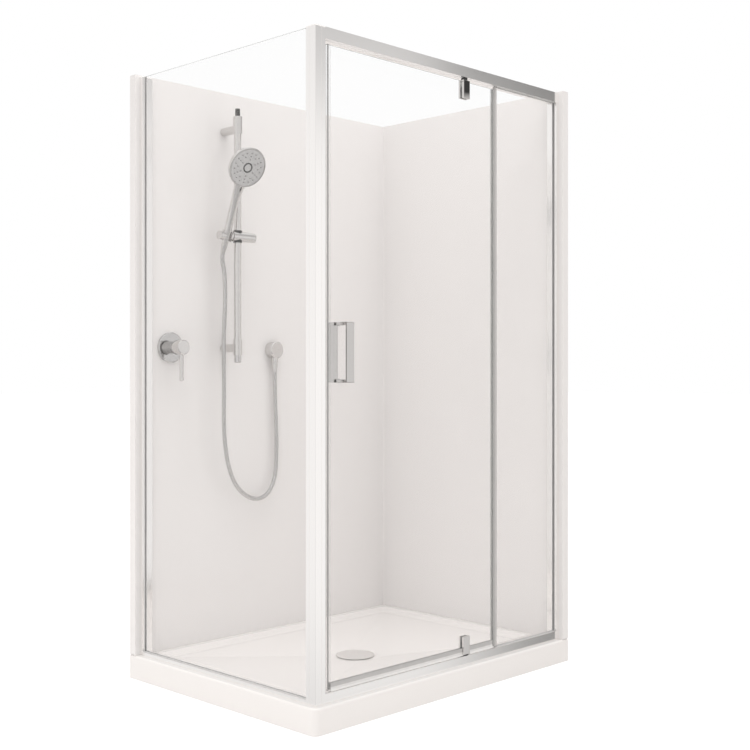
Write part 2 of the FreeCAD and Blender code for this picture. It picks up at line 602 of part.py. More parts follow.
# Side sill: the slim U under the return glass.
side_run = "channel_left_y - post_inner_y"
sill_u = u_loop("side_sill_width", "groove_width", "side_sill_height", "gauge")
keep("side_sill", extrusion("side_sill", [sill_u], side_run,
                            ("glass_x", "post_inner_y", "tray_rim"), "y", "z"))

# Fixed glasses, 6 mm toughened, each standing in its gaskets.
side_glass_foot = "tray_rim + gauge + gasket_web"
keep("side_glass", box("side_glass", (
    "glass_thick", "channel_left_y + channel_groove - post_inner_y + post_groove - 2 * gasket_web",
    "frame_top - (" + side_glass_foot + ")"),
    ("glass_x - glass_half", "post_inner_y - post_groove + gasket_web", side_glass_foot)))
keep("inline_glass", box("inline_glass", (
    "channel_right_x + channel_groove - gasket_web - panel_edge", "glass_thick",
    "head_foot - sill_top + 2 * rail_groove - 2 * gasket_web"),
    ("panel_edge", "glass_y - glass_half", "sill_top - rail_groove + gasket_web")))

# Glazing gaskets: U strips pushed over the glass edges and into the grooves.
post_gasket = u_loop("groove_width", "glass_thick", "post_groove + gasket_proud", "gasket_web")
channel_gasket = u_loop("groove_width", "glass_thick", "channel_groove + gasket_proud", "gasket_web")
sill_gasket = u_loop("groove_width", "glass_thick", "side_sill_height - gauge + gasket_proud", "gasket_web")
rail_gasket = u_loop("groove_width", "glass_thick", "rail_groove + gasket_proud", "gasket_web")
above_sill = "tray_rim + side_sill_height + gasket_proud"
group("side_gaskets",
      extrusion("post_gasket", [post_gasket], "frame_top - (%s)" % above_sill,
                ("glass_x", "post_inner_y - post_groove", above_sill)),
      extrusion("left_gasket", [channel_gasket], "frame_top - (%s)" % above_sill,
                ("glass_x", "channel_left_y + channel_groove", above_sill), "z", "-y"),
      extrusion("side_sill_gasket", [sill_gasket], side_run,
                ("glass_x", "post_inner_y", "tray_rim + gauge"), "y", "z"))
clip_left = "(panel_edge - seal_wall * 1.5 + edge_seal)"
gasket_run = "channel_right_x - " + clip_left
group("inline_gaskets",
      extrusion("right_gasket", [channel_gasket], "head_foot - sill_top",
                ("channel_right_x + channel_groove", "glass_y", "sill_top"), "z", "-x"),
      extrusion("head_gasket", [rail_gasket], gasket_run + " - gasket_proud",
                (clip_left, "glass_y", "head_foot + rail_groove"), "x", "-z"),
      extrusion("sill_gasket_strip", [rail_gasket], gasket_run + " - gasket_proud",
                (clip_left, "glass_y", "sill_top - rail_groove"), "x", "z"))

# Seals fixed to the frame: a strike strip in the post's small groove, and a clip on the free
# edge of the inline glass.
strike_loop = [("0", "-strike_width / 2"), ("strike_depth", "-strike_width / 2"),
               ("strike_depth", "-strike_width / 2 + gasket_web"),
               ("strike_depth + strike_reach - seal_wall", "-strike_width / 2 + gasket_web"),
               ("strike_depth + strike_reach", "-glass_half / 2"),
               ("strike_depth + strike_reach", "glass_half / 2"),
               ("strike_depth + strike_reach - seal_wall", "strike_width / 2 - gasket_web"),
               ("strike_depth", "strike_width / 2 - gasket_web"), ("strike_depth", "strike_width / 2"),
               ("0", "strike_width / 2")]
open_height = "head_foot - sill_top"


def clip_loop(reach, grip):
    """A clip over a glass edge: a soft nose behind a slot that opens along +X."""
    half = "(glass_half + seal_wall)"
    return [("0", "-glass_half / 2"), ("seal_wall / 2", "-" + half), (reach, "-" + half),
            (reach, "-glass_half"), (reach + " - " + grip, "-glass_half"),
            (reach + " - " + grip, "glass_half"), (reach, "glass_half"), (reach, half),
            ("seal_wall / 2", half), ("0", "glass_half / 2")]


group("frame_seals",
      extrusion("strike_seal", [strike_loop], open_height,
                ("post_inner_x - strike_depth", "glass_y", "sill_top")),
      extrusion("inline_edge_seal", [clip_loop("edge_seal", "seal_grip")],
                open_height + " - 2 * gasket_proud",
                ("panel_edge - edge_seal + seal_grip", "glass_y", "sill_top + gasket_proud")))

# Door glass: 6 mm, notched top and bottom for the pivot bosses and bored for the handles and
# the clamp screws. It turns about the pivot line, which leaves a short tail behind the pivot.
door_plate = box("door_plate", ("door_edge_right - door_edge_left", "glass_thick",
                                "door_head - door_foot"),
                 ("door_edge_left", "glass_y - glass_half", "door_foot"))


def notch(name, spare, foot):
    """The block of a pivot notch, a little smaller when it is the boss that fills it."""
    return box(name, ("notch_width - 2 * (%s)" % spare, "2 * clamp_half",
                      "notch_height + clamp_over"),
               ("pivot_x - notch_width / 2 + " + spare, "glass_y - clamp_half", foot))


top_notch_z = "door_head - notch_height"
foot_notch_z = "door_foot - clamp_over"
screw_levels = {"top": "top_clamp_z + clamp_screw_up",
                "foot": "foot_clamp_z + clamp_height - clamp_screw_up"}
screw_front = "glass_y - clamp_half - clamp_thick / 2"
screw_back = "glass_y + clamp_half + clamp_thick - pad_thick"
clamp_screws = []
glass_holes = []
for place_name, level in screw_levels.items():
    for side, sign in (("left", "-"), ("right", "+")):
        name = "%s_clamp_screw_%s" % (place_name, side)
        across = "pivot_x %s clamp_screw_side" % sign
        shank = rod(name + "_shank", "clamp_screw_radius", "%s - (%s)" % (screw_back, screw_front),
                    (across, screw_front, level), "y")
        head = rod(name + "_head", "clamp_screw_head", "clamp_screw_radius",
                   (across, screw_back + " - clamp_screw_radius", level), "y")
        clamp_screws.append(fuse(name, shank, head))
        glass_holes.append(rod(name + "_way", "clamp_screw_radius + seat_gap", "2 * clamp_half",
                               (across, "glass_y - clamp_half", level), "y"))
group("clamp_screws", *clamp_screws)
handle_levels = {"low": "handle_low_z", "high": "handle_high_z"}
for name, level in handle_levels.items():
    glass_holes.append(rod(name + "_handle_hole", "bolt_hole", "glass_thick",
                           ("handle_x", "glass_y - glass_half", level), "y"))
keep("door_glass", cut("door_glass", door_plate, notch("top_notch", "0", top_notch_z),
                       notch("foot_notch", "0", foot_notch_z), *glass_holes))

# Door seals: a clip with a soft nose on the closing edge, the same on the tail, and a drip
# strip in two lengths under the glass, either side of the foot pivot.
keep("door_closing_seal", extrusion(
    "closing_seal_clip", [clip_loop("closing_seal", "seal_grip")],
    "door_head - door_foot + drip_wall",
    ("door_edge_left + seal_grip - closing_seal", "glass_y", "door_foot - drip_wall")))
keep("door_tail_seal", extrusion(
    "tail_seal_clip", [clip_loop("tail_seal", "seal_grip")], "door_head - door_foot + drip_wall",
    ("door_edge_right - seal_grip + tail_seal", "glass_y", "door_foot - drip_wall"), "z", "-y"))
drip_foot = "sill_top + drip_clear"
drip_web = "(door_foot - drip_wall - (%s))" % drip_foot
drip_top = drip_web + " + drip_wall + drip_grip"
drip_half = "(glass_half + drip_wall)"
drip_loop = [("-%s - 2 * drip_wall" % drip_half, "0"), ("-%s - drip_wall" % drip_half, "0"),
             ("-glass_half", drip_web), (drip_half, drip_web), (drip_half, drip_top),
             ("glass_half", drip_top), ("glass_half", drip_web + " + drip_wall"),
             ("-glass_half", drip_web + " + drip_wall"), ("-glass_half", drip_top),
             ("-" + drip_half, drip_top), ("-" + drip_half, drip_web + " + drip_wall / 2")]
drip_starts = {"left": "door_edge_left + seal_grip", "right": "pivot_x + clamp_width / 2 + seat_gap"}
drip_ends = {"left": "pivot_x - clamp_width / 2 - seat_gap", "right": "door_edge_right - seal_grip"}
group("door_bottom_seal", *[
    extrusion("drip_strip_" + side, [drip_loop], "%s - (%s)" % (drip_ends[side], drip_starts[side]),
              (drip_starts[side], "glass_y", drip_foot), "x", "z") for side in ("left", "right")])

# Pivot clamps: two metal halves on soft pads grip the glass. The outer half has a boss that
# fills the notch in the glass and holds the pivot pin, which turns in a bush in the rail.
clamp_foot = {"top": "top_clamp_z", "foot": "foot_clamp_z"}
boss_z = {"top": top_notch_z + " + seat_gap", "foot": "foot_clamp_z"}
boss_tall = {"top": "top_clamp_z + clamp_height - (%s) - seat_gap" % top_notch_z,
             "foot": "door_foot + notch_height - seat_gap - foot_clamp_z"}
pad_z = {"top": "top_clamp_z", "foot": "door_foot + notch_height"}
pad_tall = {"top": top_notch_z + " - top_clamp_z",
            "foot": "foot_clamp_z + clamp_height - door_foot - notch_height"}
pin_ends = {"top": ("top_clamp_z + clamp_height - pin_grip", "head_foot + rail_groove - gasket_web"),
            "foot": ("sill_top - rail_groove + gasket_web", "foot_clamp_z + pin_grip")}
pins = {end: rod(end + "_pin", "pin_radius", "%s - (%s)" % (high, low), ("pivot_x", "glass_y", low))
        for end, (low, high) in pin_ends.items()}


def clamp_plate(name, at_y, end, face):
    """One half of a clamp, its edges rounded on the face that shows."""
    plate = box(name, ("clamp_width", "clamp_thick", "clamp_height"),
                ("pivot_x - clamp_width / 2", at_y, clamp_foot[end]))
    return round_edges(name + "_round", plate, "clamp_round",
                       lambda edge: abs(edge.BoundBox.YMin - value(face)) < 0.01
                       and abs(edge.BoundBox.YMax - value(face)) < 0.01)


outer_face = "glass_y - clamp_half - clamp_thick"
inner_face = "glass_y + clamp_half + clamp_thick"
outer_clamps, inner_clamps, pads = [], [], []
for end in ("top", "foot"):
    boss = box(end + "_boss", ("notch_width - 2 * seat_gap", "2 * clamp_half", boss_tall[end]),
               ("pivot_x - notch_width / 2 + seat_gap", "glass_y - clamp_half", boss_z[end]))
    plate = clamp_plate(end + "_outer_plate", outer_face, end, outer_face)
    held = [screw for screw in clamp_screws if screw.Name.startswith(end)]
    outer_clamps.append(cut(end + "_outer_clamp", fuse(end + "_outer_half", plate, boss), pins[end], *held))
    back = clamp_plate(end + "_inner_plate", "glass_y + clamp_half", end, inner_face)
    inner_clamps.append(cut(end + "_inner_clamp", back, *held))
    for side, at_y in (("outer", "glass_y - clamp_half"), ("inner", "glass_y + glass_half")):
        pad = box("%s_%s_pad_block" % (end, side), ("clamp_width", "pad_thick", pad_tall[end]),
                  ("pivot_x - clamp_width / 2", at_y, pad_z[end]))
        pads.append(cut("%s_%s_pad" % (end, side), pad, *held))
group("clamps_outer", *outer_clamps)
group("clamps_inner", *inner_clamps)
group("clamp_pads", *pads)
group("pivot_pins", *pins.values())

# Pivot bushes: a collar that carries the clamp and a neck pressed into the rail's hole.
pin_bore = "pin_radius + pin_fit"
top_collar_z = "top_clamp_z + clamp_height + seat_gap"
group("pivot_bushes",
      turning("top_bush", [(pin_bore, top_collar_z), ("top_collar_radius", top_collar_z),
                           ("top_collar_radius", "head_foot"), ("bush_radius", "head_foot"),
                           ("bush_radius", "head_foot + rail_groove"),
                           (pin_bore, "head_foot + rail_groove")], ("pivot_x", "glass_y", "0")),
      turning("foot_bush", [(pin_bore, "sill_top - rail_groove"), ("bush_radius", "sill_top - rail_groove"),
                            ("bush_radius", "sill_top"), ("foot_collar_radius", "sill_top"),
                            ("foot_collar_radius", "sill_top + foot_collar_thick"),
                            (pin_bore, "sill_top + foot_collar_thick")], ("pivot_x", "glass_y", "0")))

# Door handles: flat bars bent into a C, a wider and shallower one inside, held to each other
# by two bolts through sleeves in the glass.
bolts = []
for name, level in handle_levels.items():
    shank = rod(name + "_bolt_shank", "bolt_radius", "glass_thick + 2 * bolt_grip",
                ("handle_x", "glass_y - glass_half - bolt_grip", level), "y")
    sleeve = rod(name + "_bolt_sleeve", "bolt_hole", "glass_thick",
                 ("handle_x", "glass_y - glass_half", level), "y")
    bolts.append(fuse(name + "_bolt", shank, sleeve))
group("handle_bolts", *bolts)


def handle(label, width, reach, grip, face, sign):
    """A C-shaped pull that stands off one face of the glass."""
    foot, head = "-handle_length / 2", "handle_length / 2"
    loop = [("0", foot), (sign + reach, foot), (sign + reach, head), ("0", head),
            ("0", head + " - handle_arm"), ("%s(%s - %s)" % (sign, reach, grip), head + " - handle_arm"),
            ("%s(%s - %s)" % (sign, reach, grip), foot + " + handle_arm"), ("0", foot + " + handle_arm")]
    bar = extrusion(label + "_bar", [loop], width, ("handle_x - %s / 2" % width, face, "handle_z"), "x", "z")
    soft = round_edges(label + "_round", bar, "handle_round",
                       lambda edge: runs_along(edge, "x")
                       and abs(edge.BoundBox.Center.y - value(face)) > value(reach) - 0.1)
    return keep(label, cut(label, soft, *bolts))


handle("handle_outer", "outer_width", "outer_reach", "outer_grip", "glass_y - glass_half", "-")
handle("handle_inner", "inner_width", "inner_reach", "inner_grip", "glass_y + glass_half", "")

# Slide rail: a chromed tube held by two brackets screwed to the rear wall, each a collar on an
# arm, with an end cap below the lower collar and a narrower one above the upper.
rail_foot = "lower_arm_z - lower_collar_down"
rail_head = "upper_arm_z + collar_long"
keep("rail_tube", turning("rail_tube", [
    ("rail_radius - rail_wall", rail_foot), ("rail_radius", rail_foot), ("rail_radius", rail_head),
    ("rail_radius - rail_wall", rail_head)], ("rail_x", "rail_y", "0")))
collars = {"lower": (rail_foot, "lower_arm_z + lower_collar_up", "lower_arm_z"),
           "upper": ("upper_arm_z - collar_short", rail_head, "upper_arm_z")}
brackets = []
for name, (low, high, arm_z) in collars.items():
    sleeve = rod(name + "_collar", "collar_radius", "%s - (%s)" % (high, low), ("rail_x", "rail_y", low))
    arm = rod(name + "_arm", "arm_radius", "rail_standoff", ("rail_x", "rail_y", arm_z), "y")
    stud = rod(name + "_stud", "bracket_screw_radius", "screw_reach", ("rail_x", "rear_wall", arm_z), "y")
    way = rod(name + "_rail_way", "rail_radius", "rail_head_room",
              ("rail_x", "rail_y", low + " - rail_head_room / 4"))
    brackets.append(cut(name + "_bracket", fuse(name + "_bracket_solid", sleeve, arm, stud), way))
group("rail_brackets", *brackets)
plug = "rail_radius - rail_wall"
cap_turn = "end_cap_length / 3"
group("rail_end_caps",
      turning("bottom_cap", [
          ("0", rail_foot + " - end_cap_length"),
          ("bottom_cap_radius - cap_thick", rail_foot + " - end_cap_length"),
          ("bottom_cap_radius", rail_foot + " - end_cap_length + cap_thick"),
          ("bottom_cap_radius", rail_foot), (plug, rail_foot), (plug, rail_foot + " + " + cap_turn),
          ("0", rail_foot + " + " + cap_turn)], ("rail_x", "rail_y", "0")),
      turning("top_cap", [
          ("0", rail_head + " - " + cap_turn), (plug, rail_head + " - " + cap_turn), (plug, rail_head),
          ("top_cap_radius", rail_head), ("top_cap_radius", rail_head + " + end_cap_length - seat_gap"),
          ("top_cap_radius - cap_thick / 2", rail_head + " + end_cap_length"),
          ("0", rail_head + " + end_cap_length")], ("rail_x", "rail_y", "0")))

# Slider: a barrel across the rail with a sliding sleeve in it, a clamp knob on the right and
# the tilting cradle on the left, both on spindles that turn in the barrel.
liner_radius = "(rail_radius + liner_fit + liner_wall)"
slider_start = "rail_x - slider_left"
barrel = rod("barrel", "slider_radius", "slider_left + slider_right",
             (slider_start, "rail_y", "slider_z"), "x")
rail_way = rod("barrel_rail_way", liner_radius, "3 * slider_radius",
               ("rail_x", "rail_y", "slider_z - 1.5 * slider_radius"))
spindle_bore = "spindle_radius + spindle_fit"
knob_way = rod("knob_way", spindle_bore, "spindle_reach + seat_gap",
               ("rail_x + slider_right", "rail_y", "slider_z"), "-x")
cradle_way = rod("cradle_way", spindle_bore, "cradle_reach + seat_gap",
                 (slider_start, "rail_y", "slider_z"), "x")
keep("slider_body", cut("slider_body", barrel, rail_way, knob_way, cradle_way))
liner_half = "(slider_radius + liner_proud)"
keep("slider_liner", turning("slider_liner", [
    ("rail_radius + liner_fit", "-" + liner_half), (liner_radius, "-" + liner_half),
    (liner_radius, liner_half), ("rail_radius + liner_fit", liner_half)],
    ("rail_x", "rail_y", "slider_z")))
knob_at = ("rail_x + slider_right + seat_gap", "rail_y", "slider_z")
knob_grip = turning("knob_grip", [
    ("0", "0"), ("knob_radius", "0"), ("knob_radius", "knob_length - cap_thick"),
    ("knob_radius - cap_thick", "knob_length"), ("0", "knob_length")], knob_at, "x")
knob_spindle = rod("knob_spindle", "spindle_radius", "spindle_reach", knob_at, "-x")
keep("clamp_knob", fuse("clamp_knob", knob_grip, knob_spindle))

# Cradle: a tapered socket with an open front slot for the hose, tilted with the handset, on a
# short cross bar that shows at the left.
cradle_at = ("cradle_x", "rail_y", "slider_z")
tilted = Rotation(AXES["x"], value("tilt"))
turned = tilted * Rotation(AXES["z"], -value("handset_turn"))


def tilt_in(label, rotation, *solids):
    """Keep solids that were made about the handset's axis, and tip them into place."""
    return place(group(label, *solids), cradle_at, rotation)


cradle_half = "(cradle_height / 2)"
cradle_barrel = rod("cradle_barrel", "cradle_radius", "cradle_height", ("0", "0", "-" + cradle_half))
hub_end = "(cradle_offset - slider_left - seat_gap)"
hub = rod("hub", "cradle_hub", "cradle_tail + " + hub_end, ("-cradle_tail", "0", "0"), "x")
cradle_spindle = rod("cradle_spindle", "spindle_radius", hub_end + " + cradle_reach",
                     ("0", "0", "0"), "x")
socket = cone("socket", "socket_foot", "socket_top", "cradle_height", ("0", "0", "-" + cradle_half))
slot = box("slot", ("cradle_slot", "cradle_radius", "cradle_height"),
           ("-cradle_slot / 2", "-cradle_radius", "-" + cradle_half))
tilt_in("handset_cradle", tilted, cut("cradle_solid", fuse("cradle_blank", cradle_barrel, hub,
                                                           cradle_spindle), socket, slot))

# Handset: a round handle that tapers into the cradle, an oval neck and a round head whose
# face looks along local -Y. Its waterway is bored and the head is hollow behind the face.
handle_foot = "(-%s - handset_tail)" % cradle_half
socket_slope = "(socket_top - socket_foot) / cradle_height"
tail_radius = "socket_foot - socket_gap - handset_tail * " + socket_slope
grip_radius = "socket_top - socket_gap"
stem = cone("handset_stem", tail_radius, grip_radius, "cradle_height + handset_tail",
            ("0", "0", handle_foot))


def neck_ring(name, height, across, deep, shift):
    """An oval outline of the neck, level in the handset's own frame."""
    ring = bind(doc.addObject("Part::Ellipse", name), MajorRadius=across, MinorRadius=deep)
    return place(ring, ("0", shift, height))


neck = doc.addObject("Part::Loft", "handset_neck")
neck.Sections = [
    place(bind(doc.addObject("Part::Circle", "neck_ring_1"), Radius=grip_radius),
          ("0", "0", cradle_half)),
    neck_ring("neck_ring_2", "neck_low", "handle_top_radius", "neck_low_deep", "-1"),
    neck_ring("neck_ring_3", "neck_high", "neck_mid_wide", "neck_mid_deep", "-head_offset / 5"),
    neck_ring("neck_ring_4", "head_rise - neck_sink", "neck_top_wide", "neck_top_deep",
              "head_thick / 2 - head_offset")]
neck.Solid = True
neck.Ruled = False
head_back = "(head_offset - head_thick)"
nod = Rotation(AXES["x"], value("head_nod"))
nod_cos, nod_sin = math.cos(math.radians(value("head_nod"))), math.sin(math.radians(value("head_nod")))


def in_head(across, deep, up):
    """A point given about the head's centre, once the head leans forwards on its neck."""
    return (across, "(%s) * %.8f - (%s) * %.8f" % (deep, nod_cos, up, nod_sin),
            "head_rise + (%s) * %.8f + (%s) * %.8f" % (deep, nod_sin, up, nod_cos))


def nodded(thing):
    """Lean a solid that stands at such a point by the head's own angle."""
    thing.Placement = Placement(thing.Placement.Base, nod * thing.Placement.Rotation)
    return thing


head_shell = nodded(turning("head_shell", [
    ("0", head_back), ("head_radius * 0.5", head_back + " + rim_thick / 6"),
    ("head_radius * 0.8", head_back + " + rim_thick * 0.6"),
    ("head_radius * 0.95", head_back + " + rim_thick * 1.4"),
    ("head_radius", "head_offset - rim_thick"), ("head_radius", "head_offset - rim_bevel"),
    ("head_radius - rim_bevel", "head_offset"), ("0", "head_offset")], in_head("0", "0", "0"), "-y"))
cavity = nodded(rod("head_cavity", "face_radius", "head_thick - rim_thick",
                    in_head("0", "-head_offset", "0"), "y"))
waterway = rod("handle_waterway", "waterway_radius", "neck_low - " + handle_foot, ("0", "0", handle_foot))
upper_foot = "neck_low - neck_way_radius"
upper_way = rod("neck_waterway", "neck_way_radius", "head_rise - head_radius * 0.7 - neck_low",
                ("0", "0", upper_foot))
lean = math.atan2(value("head_offset - head_thick / 2"), value("head_rise - head_radius - neck_low"))
place(upper_way, ("0", "0", upper_foot), Rotation(AXES["x"], math.degrees(lean)))
tilt_in("handset_body", turned, cut("handset_shell", fuse("handset_solid", stem, neck, head_shell),
                                    cavity, waterway, upper_way))

# Spray face: a soft mat with nozzles in three rings, a plate over it that the nozzles pass
# through, and a ring let in at the centre.
nozzles = []
plate_back = "face_thick - head_offset"
for circle, count in enumerate((6, 12, 18), start=1):
    for number in range(count):
        turn = 2 * math.pi * (number + circle / 2) / count
        radius = "(ring_radius + %d * (face_radius - ring_radius) / 4)" % circle
        nozzles.append(nodded(rod("nozzle_%d_%d" % (circle, number + 1), "nozzle_radius",
                                  "face_thick + nozzle_proud",
                                  in_head("%s * %.6f" % (radius, math.cos(turn)), plate_back,
                                          "%s * %.6f" % (radius, math.sin(turn))), "-y")))
mat = nodded(rod("nozzle_mat", "face_radius - seal_wall", "nozzle_proud",
                 in_head("0", plate_back + " + nozzle_proud", "0"), "-y"))
tilt_in("handset_nozzles", turned, fuse("nozzle_mat_and_jets", mat, *nozzles))
face_plate = nodded(rod("face_plate", "face_radius", "face_thick", in_head("0", plate_back, "0"), "-y"))
ring_foot = "head_offset - face_thick / 2"
face_ring = nodded(turning("face_ring", [
    ("ring_radius - ring_width", ring_foot), ("ring_radius", ring_foot),
    ("ring_radius", "head_offset + seat_gap"), ("ring_radius - ring_width", "head_offset + seat_gap")],
    in_head("0", "0", "0"), "-y"))
tilt_in("handset_face", turned, cut("face_plate_bored", face_plate, face_ring, *nozzles))
tilt_in("handset_ring", turned, face_ring)


def hose_nut(name, top, at):
    """A tapered hose nut that hangs below a given height, bored for the hose."""
    foot = "%s - nut_length" % top
    solid = turning(name + "_solid", [
        ("0", foot), ("nut_foot_radius", foot), ("nut_radius", foot + " + nut_taper"),
        ("nut_radius", top + " - seat_gap"), ("nut_radius - seat_gap", top), ("0", top)], at)
    bore = rod(name + "_bore", "hose_radius + seat_gap", "hose_grip + seat_gap", at[:2] + (foot,))
    way = rod(name + "_way", "waterway_radius", "nut_length", at[:2] + (foot,))
    return cut(name, solid, bore, way)


tilt_in("handset_hose_nut", turned, hose_nut("handset_nut", "nut_top", ("0", "0", "0")))

# Wall outlet: a round elbow on a brass nipple that comes through the wall, with a stub below
# for the hose nut.
outlet = turning("outlet_disc", [
    ("0", "0"), ("outlet_radius", "0"), ("outlet_radius", "outlet_reach - edge_round"),
    ("outlet_radius - edge_round", "outlet_reach"), ("0", "outlet_reach")],
    ("outlet_x", "rear_wall", "outlet_z"), "-y")
outlet_axis = ("outlet_x", "outlet_y", "outlet_z")
outlet_stub = rod("outlet_stub", "outlet_stub_radius", "outlet_z - outlet_nut_z", outlet_axis, "-z")
keep("wall_outlet", cut("wall_outlet", fuse("outlet_blank", outlet, outlet_stub),
                        rod("outlet_way_down", "waterway_radius", "outlet_z - outlet_nut_z",
                            outlet_axis, "-z"),
                        rod("outlet_way_back", "waterway_radius", "outlet_stub_y", outlet_axis, "y"),
                        rod("outlet_seat", "nipple_radius", "nipple_grip",
                            ("outlet_x", "rear_wall", "outlet_z"), "-y")))
nipple_span = "wall_depth + nipple_grip"
keep("outlet_nipple", turning("outlet_nipple", [
    ("nipple_bore", "0"), ("nipple_radius", "0"), ("nipple_radius", nipple_span),
    ("nipple_bore", nipple_span)], ("outlet_x", "rear_wall - nipple_grip", "outlet_z"), "y"))
keep("outlet_hose_nut", hose_nut("outlet_nut", "outlet_nut_z", ("outlet_x", "outlet_y", "0")))

# Hose: one smooth tube, with 18 mm of each end inside its nut. Straight runs joined by arcs.
drop = value("nut_length - nut_top - hose_grip")
lean_y = math.sin(math.radians(value("tilt")))
lean_z = math.cos(math.radians(value("tilt")))


def below_handle(distance):
    """A point on the handset's axis below the cradle's centre."""
    return Vector(value("cradle_x"), value("rail_y") + distance * lean_y,
                  value("slider_z") - distance * lean_z)


outlet_foot = Vector(value("outlet_x"), value("outlet_y"), value("outlet_nut_z - nut_length"))
rail_line = Vector(value("rail_x"), value("rail_y"), 0)
HOSE_ROUTE = [below_handle(drop), below_handle(drop + 40)] + [rail_line + Vector(*step) for step in (
    (-40, 21, 1350), (-38, 17, 1258), (-45, 13, 1110), (-39, 11, 955), (-35, 13, 810),
    (-15, 19, 695), (21, 27, 615), (75, 35, 568), (130, 42, 553), (183, 49, 573),
    (217, 54, 625), (227, 57, 712), (225, 59, 830))] + [
    outlet_foot - Vector(0, 0, 62), outlet_foot + Vector(0, 0, value("hose_grip"))]


def rounded_route(points):
    """Straight runs joined by tangent arcs, and the radius of each arc."""
    edges, radii, start = [], [], points[0]
    for before, corner, after in zip(points, points[1:], points[2:]):
        back = (before - corner).normalize()
        ahead = (after - corner).normalize()
        half_turn = (math.pi - back.getAngle(ahead)) / 2
        trim = 0.45 * min((before - corner).Length, (after - corner).Length)
        radius = trim / math.tan(half_turn)
        radii.append(radius)
        middle_way = (back + ahead).normalize()
        middle = corner + middle_way * (radius / math.cos(half_turn) - radius)
        first, last = corner + back * trim, corner + ahead * trim
        edges.append(Part.LineSegment(start, first).toShape())
        edges.append(Part.Arc(first, middle, last).toShape())
        start = last
    edges.append(Part.LineSegment(start, points[-1]).toShape())
    return Part.Wire(edges), radii


hose_line = doc.addObject("Part::Feature", "hose_line")
hose_line.Shape, hose_radii = rounded_route(HOSE_ROUTE)
hose_ring = bind(doc.addObject("Part::Circle", "hose_ring"), Radius="hose_radius")
hose_ring.Placement = Placement(HOSE_ROUTE[0], Rotation(AXES["z"], HOSE_ROUTE[1] - HOSE_ROUTE[0]))
hose = doc.addObject("Part::Sweep", "hose")
hose.Sections = [hose_ring]
hose.Spine = (hose_line, ["Edge%d" % number for number in range(1, len(hose_line.Shape.Edges) + 1)])
hose.Solid = True
keep("hose", hose)
print("hose arc radii, mm:", [round(radius) for radius in hose_radii])

# Mixer: a brass body set in the wall, a round plate, a sleeve with a domed end, and a pin-lever
# cap that turns and lifts about a ball pin inside the dome. Heights run out from the wall.
mixer_at = ("mixer_x", "rear_wall", "mixer_z")
ball_at = ("mixer_x", "rear_wall - ball_y", "mixer_z")
body_back = "(seat_gap - wall_depth)"
port_tools = [rod("%s_port" % side, "port_radius", "port_depth",
                  ("mixer_x %s port_side" % sign, "rear_wall - " + body_back, "mixer_z"), "-y")
              for side, sign in (("hot", "-"), ("cold", "+"))]
cartridge_back = body_back + " + port_depth"
keep("mixer_body", cut("mixer_body", turning("mixer_casting", [
    ("0", body_back), ("body_radius", body_back), ("body_radius", "cartridge_face"),
    ("cartridge_radius", "cartridge_face"), ("cartridge_radius", cartridge_back + " - seat_gap"),
    ("0", cartridge_back + " - seat_gap")], mixer_at, "-y"), *port_tools))
shank_foot = cartridge_back + " + spindle_radius"
keep("mixer_cartridge", turning("mixer_cartridge", [
    ("0", cartridge_back), ("cartridge_radius", cartridge_back), ("cartridge_radius", "cartridge_face"),
    (spindle_bore, "cartridge_face"), (spindle_bore, shank_foot), ("0", shank_foot)], mixer_at, "-y"))
keep("mixer_plate", turning("mixer_plate", [
    ("sleeve_radius", "plate_thick"), ("plate_radius - edge_round", "plate_thick"),
    ("plate_radius", "plate_thick - edge_round"), ("plate_radius", "0"),
    ("plate_radius - plate_wall", "0"), ("plate_radius - plate_wall", "plate_thick - plate_wall"),
    ("sleeve_radius", "plate_thick - plate_wall")], mixer_at, "-y"))


def dome(name, radius):
    """A round bar from the wall that ends in a half sphere about the ball centre."""
    ball = place(bind(doc.addObject("Part::Sphere", name + "_ball"), Radius=radius), ball_at)
    return fuse(name, rod(name + "_bar", radius, "ball_y", mixer_at, "-y"), ball)


keep("mixer_sleeve", cut("mixer_sleeve", dome("sleeve_outside", "sleeve_radius"),
                         dome("sleeve_inside", "sleeve_radius - sleeve_wall"),
                         rod("dome_mouth", "dome_mouth", "2 * sleeve_radius", ball_at, "-y")))
yoke_foot = "cartridge_face + seat_gap"
yoke = rod("yoke_plate", "yoke_radius", "cheek", ("mixer_x", "rear_wall - cartridge_face - seat_gap",
                                                   "mixer_z"), "-y")
shank = rod("mixer_shank", "spindle_radius", "%s - (%s) - seat_gap" % (yoke_foot, shank_foot),
            ("mixer_x", "rear_wall - cartridge_face - seat_gap", "mixer_z"), "y")
cheek_deep = "ball_y + ball_pin_radius + cheek / 2 - (%s)" % yoke_foot
cheek_y = "rear_wall - ball_y - ball_pin_radius - cheek / 2"
cheek_inside = "stem_half + seat_gap"
cheeks = [box("cheek_%s" % side, ("cheek", cheek_deep, "2 * (ball_pin_radius + cheek / 2)"),
              ("mixer_x " + offset, cheek_y, "mixer_z - ball_pin_radius - cheek / 2"))
          for side, offset in (("left", "- (%s) - cheek" % cheek_inside), ("right", "+ " + cheek_inside))]
ball_pin = rod("ball_pin", "ball_pin_radius", "2 * (%s + cheek)" % cheek_inside,
               ("mixer_x - (%s) - cheek" % cheek_inside, "rear_wall - ball_y", "mixer_z"), "x")
keep("mixer_spindle", fuse("mixer_spindle", yoke, shank, ball_pin, *cheeks))

